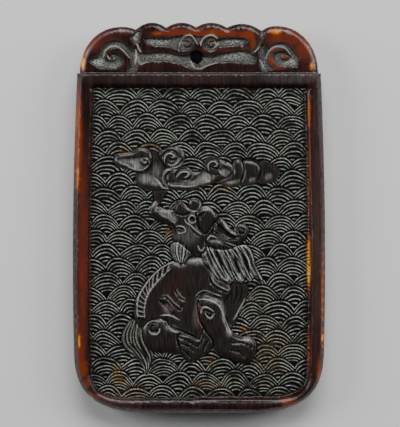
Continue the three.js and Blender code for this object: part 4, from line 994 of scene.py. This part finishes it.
def close_down(loop, steps):
    """Hangs rows of faces from a loop, each row set in and down by its step, and gives the last."""
    global total
    base = verts[loop]
    ahead = np.roll(base, -1, axis=0) - np.roll(base, 1, axis=0)
    apart = np.linalg.norm(base[:, None, :2] - base[None, :, :2], axis=2)
    inward = np.exp(-(apart / inward_reach) ** 2) @ np.column_stack([-ahead[:, 1], ahead[:, 0]])
    inward /= np.linalg.norm(inward, axis=1)[:, None]
    above = np.array(loop)
    for inset, height in steps:
        row = np.column_stack([base[:, :2] + inset * inward, np.full(len(base), height)])
        below = np.arange(total, total + len(row))
        skin.append(row)
        total += len(row)
        ahead_above = np.roll(above, -1)
        ahead_below = np.roll(below, -1)
        more_faces.extend(zip(above.tolist(), below.tolist(), ahead_below.tolist(), ahead_above.tolist()))
        above = below
    return above


back_arris = 0.06
side_steps = [(0, rim_height - 0.4), (0, 3.4), (0, 1.6), (0, back_edge + 2 * back_arris), (0, back_edge),
              (back_arris, back_edge - back_arris), (back_edge - back_arris, back_arris), (back_edge, 0)]
back_ring = close_down(outer_loop, side_steps)
bore_steps = [(0, face_height - bore_bevel - 0.9), (0, 3.0), (0, 0.5), (0, 0.12), (0, 0)]
back_bore = close_down(bore_loop, bore_steps)
all_verts = np.vstack(skin)
numbers = np.concatenate([back_ring, back_bore])
back_points = all_verts[numbers][:, :2]
back_spots, back_triangles = fill(back_points, fences_round([back_ring, back_bore]))
more_faces.extend(tuple(t) for t in numbers[back_triangles][:, ::-1].tolist())

body = bpy.data.meshes.new("carved_horn_plaque")
body.from_pydata((all_verts * mm).tolist(), [], faces.tolist() + more_faces)
body.validate()
body.shade_smooth()
face_count = len(body.polygons)
face_normal = np.empty(face_count * 3)
face_area = np.empty(face_count)
corners_of_face = np.empty(face_count, int)
corner_vertex = np.empty(len(body.loops), int)
body.polygons.foreach_get("normal", face_normal)
body.polygons.foreach_get("area", face_area)
body.polygons.foreach_get("loop_total", corners_of_face)
body.loops.foreach_get("vertex_index", corner_vertex)
facing = np.zeros((len(body.vertices), 3))
weighted = face_normal.reshape(-1, 3) * face_area[:, None]
np.add.at(facing, corner_vertex, np.repeat(weighted, corners_of_face, axis=0))
facing /= np.linalg.norm(facing, axis=1)[:, None] + 1e-12
facing[all_verts[:, 2] == 0] = (0, 0, -1)
body.normals_split_custom_set_from_vertices(facing.tolist())
plaque = bpy.data.objects.new("carved_horn_plaque", body)
bpy.context.scene.collection.objects.link(plaque)

# Marks of hand and wear, and of painted light: what stands out of the carving is paler, partly rubbed and
# partly a painted highlight, what lies low in it gets painted shade, and the cut ground stays rough.
# Each mark is one number from 0 to 1 at each point.
fine_reach = 0.12
broad_reach = 0.3
relief_lift_from = 0.01
relief_lift_full = 0.13
hair_relief_lift = 0.35
hair_relief_lift_from = 0.012
fine_shade_depth = 0.045
broad_shade_depth = 0.4
carving = face - uncut
uneven_polish = 0.5 + 0.5 * mottle(X, Y, 0.3, 0.45, 51) + 0.4 * mottle(X, Y, 1.1, 0.8, 52)
x, y = all_verts[:, :2].T
fine = sample(carving - blur(carving, fine_reach), x, y)
broad = sample(carving - blur(carving, broad_reach), x, y)
on_hair = sample(hair, x, y)
# Raised relief gets a pale coat that is wear and painted highlight together.
relief_lift = fine * (1 + hair_relief_lift * on_hair)
marks = {
    "worn_and_highlight": np.clip((relief_lift - relief_lift_from - hair_relief_lift_from * on_hair) / relief_lift_full, 0, 1),
    # Low relief: painted shade in the grooves and hollows of the carving.
    "hollow": np.clip(-fine / fine_shade_depth - np.minimum(broad, 0) / broad_shade_depth, 0, 1),
    "hair": on_hair,
    "wave_ground": sample(wave_ground * (1 - figure), x, y),
    "cut_ground": np.clip(sample(ground, x, y) / 0.35 - 1.7, 0, 1),
    "rubbed_and_sheen": sample(rubbed_and_sheen * figure * uneven_polish, x, y),
    "figure": sample(figure, x, y),
    "glint": sample(glint, x, y),
}
marks["hollow"] *= (1 - 0.6 * marks["cut_ground"]) * (1 - 0.8 * np.clip(marks["rubbed_and_sheen"], 0, 1))
marks["shaded_ground"] = marks["cut_ground"] * (1 - sample(ground_light, x, y))

# Amber places: where the horn is thin or clear, light comes through and it turns from near black
# over red-brown to yellow; on the field's right inner wall the amber also paints the light falling on
# that wall. Flecks of tan show in the wave ground, and a painted grey sheen on the rails.
on_plaque = paper(plaque_middle, mm_per_pixel, mm_per_pixel, (0, 0))
on_face = np.arange(len(all_verts)) < len(verts)
# The strips at x = 309 lie on the field's right inner wall; there the amber is partly painted light
# falling on the wall from the left.
amber = soft_spots(on_plaque, x, y, [
    (78.5, 140, 4.5, 60, 0.5), (77.5, 178, 2, 16, 0.72), (83.5, 250, 6.5, 120, 0.36),
    (81, 340, 6, 46, 0.36), (79.5, 341, 1.8, 10, 0.86), (84, 368, 5, 12, 0.42), (87, 383, 4, 8, 0.36),
    (91, 398, 3, 6, 0.6), (98, 396, 8, 3, 0.34), (118, 400, 30, 6, 0.2), (289, 402, 10, 6, 0.44),
    (322.4, 338, 1.8, 12, 0.74), (320, 388, 4, 12, 0.46), (83, 62, 3, 9, 0.84), (84, 52, 5, 10, 0.46),
    (93, 44, 9, 10, 0.32), (104, 40, 20, 12, 0.24), (125, 32, 8, 4, 0.3), (157, 33.5, 7, 2.6, 0.66),
    (180, 31.5, 15, 4, 0.4), (200, 31, 8, 4, 0.3), (214, 32, 9, 4, 0.48), (232, 34, 16, 4, 0.38),
    (247, 35, 10, 6, 0.46), (253, 43, 4, 9, 0.48), (246, 48, 6, 3, 0.36), (220, 50, 30, 2.4, 0.24),
    (286, 38, 24, 11, 0.37), (205, 33.5, 58, 5, 0.42), (275, 31.8, 9, 3, 0.74), (304, 50, 11, 14, 0.4),
    (311.5, 66, 2.6, 6, 0.78), (271.5, 60, 3.4, 8, 0.44), (279, 67.5, 10, 3, 0.38),
    (284, 57, 6, 3, 0.42), (277, 50, 9, 3, 0.3), (212, 40, 5, 3.5, 0.42), (188, 42, 4, 3, 0.3),
    (160, 66, 60, 2.4, 0.1), (245, 85.3, 66, 0.9, 0.26), (309, 112, 1.7, 24, 0.66),
    (309.3, 180, 1.7, 60, 0.54), (309, 262, 2.7, 34, 0.9), (309, 350, 2, 30, 0.5),
    (322.3, 290, 1.6, 60, 0.6), (319, 372, 3, 20, 0.42), (316, 260, 7, 190, 0.12),
    (90, 230, 1.6, 120, 0.2), (168, 307, 6, 5, 0.24), (198, 316, 3, 16, 0.24), (196, 256.5, 6, 1.4, 0.4),
    (175, 290, 14, 20, 0.08),
])
patchy = 0.6 * mottle(x, y, 0.7, 2.2, 41) + 0.4 * mottle(x, y, 2.4, 7.0, 42)
thin_edge_reach = 0.5
thin_edge = np.exp(-sample(rim, x, y) / thin_edge_reach) * (0.04 + 0.16 * mottle(x, y, 2.0, 6.0, 43))
marks["amber"] = np.clip(amber * (0.78 + 0.44 * patchy) + thin_edge, 0, 1)
flecks = soft_spots(on_plaque, x, y, [
    (170, 230, 6, 5, 0.9), (173, 237, 3, 5, 0.8), (243, 329, 5, 6, 0.8), (247, 341, 8, 2, 0.7),
    (212, 362, 6, 6, 0.7), (117, 372, 5, 9, 0.9), (120, 380, 8, 4, 1.0), (272, 130, 4, 3, 0.5),
    (128, 150, 11, 2.2, 0.9), (145, 145.5, 9, 2, 0.8), (157, 148, 4, 2.4, 1.0), (195, 190, 9, 2, 0.7),
    (224, 188, 9, 2, 0.7), (270, 350, 22, 26, 0.3), (255, 305, 14, 12, 0.2), (210, 384, 24, 6, 0.5),
    (113, 103, 5, 3, 0.4), (258, 104, 6, 3, 0.4), (135, 390, 26, 5, 0.4),
])
marks["flecks"] = flecks * np.clip(2.2 * mottle(x, y, 0.4, 0.3, 46) - 0.5, 0, 1) * (1 - marks["figure"])
bright = soft_spots(on_plaque, x, y, [
    (131, 366, 13, 8, 2.0), (141, 378, 3, 3, 1.8), (197, 366, 4, 4, 1.2), (255, 337, 4, 4, 1.4),
    (250, 92, 60, 4, 1.0), (134, 98, 5, 4, 1.4),
])
marks["glint"] = np.maximum(marks["glint"], bright * mottle(x, y, 0.5, 0.4, 47) * marks["worn_and_highlight"])
# Painted grey sheen on the rails.
rail_sheen = soft_spots(on_plaque, x, y, [
    (200, 78, 130, 7, 0.05), (290, 78, 36, 6, 0.14), (318, 210, 7, 170, 0.06),
])
marks["rubbed_and_sheen"] = np.maximum(marks["rubbed_and_sheen"], rail_sheen)
for mark, values in marks.items():
    layer = body.attributes.new(mark, "FLOAT", "POINT")
    layer.data.foreach_set("value", (values * on_face).astype(np.float32))

# Buffalo horn, sawn, carved and rubbed with oil and ash to a soft polish. It is near black with a
# red-brown grain that runs up the plate, clearer at the edges, and greyed where it is cut or worn.
# Its colour also carries painted light: highlights and sheen on raised and rubbed parts, shade in the
# grooves and on the cut ground.
# The real fibres are finer than a picture of the whole plaque shows, so they are drawn 0.2 mm wide.
grain_width = 0.35
grain_length = 9.0
patch_width = 2.6
patch_length = 7.7
pore_width = 0.31
fibre_width = 0.2
fibre_length = 2.4
horn = bpy.data.materials.new("Polished_buffalo_horn")
horn.use_nodes = True
tree = horn.node_tree
shader = tree.nodes["Principled BSDF"]
shader.inputs["IOR"].default_value = 1.54
shader.inputs["Specular IOR Level"].default_value = 0.42
place = add(tree, "ShaderNodeTexCoord").outputs["Object"]
seen = {name: add(tree, "ShaderNodeAttribute", attribute_name=name).outputs["Fac"] for name in marks}

along_grain = add(tree, "ShaderNodeMapping", {
    "Vector": place, "Scale": (1 / (grain_width * mm), 1 / (grain_length * mm), 1 / (10 * mm))})
grain = add(tree, "ShaderNodeTexNoise", {
    "Vector": along_grain.outputs["Vector"], "Scale": 1.0, "Detail": 4.0, "Roughness": 0.62})
along_patches = add(tree, "ShaderNodeMapping", {
    "Vector": place, "Scale": (1 / (patch_width * mm), 1 / (patch_length * mm), 1 / (3 * mm))})
patches = add(tree, "ShaderNodeTexNoise", {
    "Vector": along_patches.outputs["Vector"], "Scale": 1.0, "Detail": 3.0})
pores = add(tree, "ShaderNodeTexNoise", {"Vector": place, "Scale": 1 / (pore_width * mm), "Detail": 2.0})
along_fibres = add(tree, "ShaderNodeMapping", {
    "Vector": place, "Scale": (1 / (fibre_width * mm), 1 / (fibre_length * mm), 1 / mm)})
fibres = add(tree, "ShaderNodeTexNoise", {
    "Vector": along_fibres.outputs["Vector"], "Scale": 1.0, "Detail": 2.0})
tones = {}
for name, noise, stops in [
    ("grain", grain, [(0.34, "#140c0b"), (0.72, "#44241e")]),
    ("figure", fibres, [(0.3, "#110f0e"), (0.72, "#362f2c")]),
    ("rubbed_and_sheen", fibres, [(0.28, "#6f6f6b"), (0.72, "#cccdc7")]),
    ("flecks", pores, [(0.36, "#4a1a0c"), (0.64, "#b98a3e")]),
    ("patches", patches, [(0.35, "#a0a0a0"), (0.7, "#ffffff")]),
    ("cut", pores, [(0.36, "#353531"), (0.66, "#dcded6")]),
    ("ridge", pores, [(0.32, "#858a7d"), (0.66, "#e3eadb")]),
]:
    ramp = add(tree, "ShaderNodeValToRGB", {"Fac": noise.outputs["Fac"]})
    for element, (position, colour) in zip(ramp.color_ramp.elements, stops):
        element.position = position
        element.color = linear(colour)
    tones[name] = ramp.outputs["Color"]
amber_tone = add(tree, "ShaderNodeValToRGB", {"Fac": seen["amber"]})
amber_stops = amber_tone.color_ramp.elements
amber_stops[0].color = linear("#2e1613")
amber_stops[1].color = linear("#ffdf52")
for position, colour in [
    (0.24, "#55271f"), (0.36, "#652a1c"), (0.5, "#7d3408"), (0.68, "#b8670f"), (0.84, "#f0a91f"),
]:
    amber_stops.new(position).color = linear(colour)

horn_tone = add(tree, "ShaderNodeMix", {0: 1.0, 6: tones["grain"], 7: tones["patches"]},
                data_type="RGBA", blend_type="MULTIPLY")
hair_share = add(tree, "ShaderNodeMath", {0: seen["hair"], 1: 0.95}, operation="MULTIPLY")
lined = add(tree, "ShaderNodeMath", {
    0: seen["wave_ground"], 1: hair_share.outputs[0]}, operation="MAXIMUM")
lined_share = add(tree, "ShaderNodeMath", {0: lined.outputs[0], 1: 0.75}, operation="MULTIPLY")
worn_and_highlight_share = add(tree, "ShaderNodeMath", {0: lined_share.outputs[0], 1: 0.07}, operation="ADD")
worn_and_highlight = add(tree, "ShaderNodeMath", {0: seen["worn_and_highlight"], 1: worn_and_highlight_share.outputs[0]}, operation="MULTIPLY")
tone = horn_tone.outputs[2]
for source, share, colour in [
    (seen["figure"], 0.88, tones["figure"]),
    (seen["hair"], 0.85, linear("#12140f")),
    (seen["wave_ground"], 0.92, linear("#070805")),
    (seen["amber"], 2.6, amber_tone.outputs["Color"]),
    # rubbed grey with a painted sheen
    (seen["rubbed_and_sheen"], 0.7, tones["rubbed_and_sheen"]),
    (seen["cut_ground"], 0.88, tones["cut"]),
    (seen["shaded_ground"], 1.0, linear("#20211c")),
    # pale coat on raised relief: wear and a painted highlight
    (worn_and_highlight.outputs[0], 1.0, tones["ridge"]),
    (seen["flecks"], 0.8, tones["flecks"]),
    (seen["glint"], 0.4, linear("#dcdad0")),
    # painted shade in the grooves
    (seen["hollow"], 0.92, linear("#040404")),
]:
    strength = add(tree, "ShaderNodeMath", {0: source, 1: share}, operation="MULTIPLY", use_clamp=True)
    coat = add(tree, "ShaderNodeMix", {0: strength.outputs[0], 6: tone, 7: colour}, data_type="RGBA")
    tone = coat.outputs[2]
tree.links.new(tone, shader.inputs["Base Color"])

polished = 0.24
cut_roughness = 0.35
roughness = add(tree, "ShaderNodeMath", {
    0: seen["cut_ground"], 1: cut_roughness, 2: polished}, operation="MULTIPLY_ADD")
tree.links.new(roughness.outputs[0], shader.inputs["Roughness"])
fibre_relief = 0.04
bump = add(tree, "ShaderNodeBump", {
    "Height": fibres.outputs["Fac"], "Strength": 0.25, "Distance": fibre_relief * mm})
tree.links.new(bump.outputs["Normal"], shader.inputs["Normal"])
body.materials.append(horn)
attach(plaque, "root")
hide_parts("plaque")
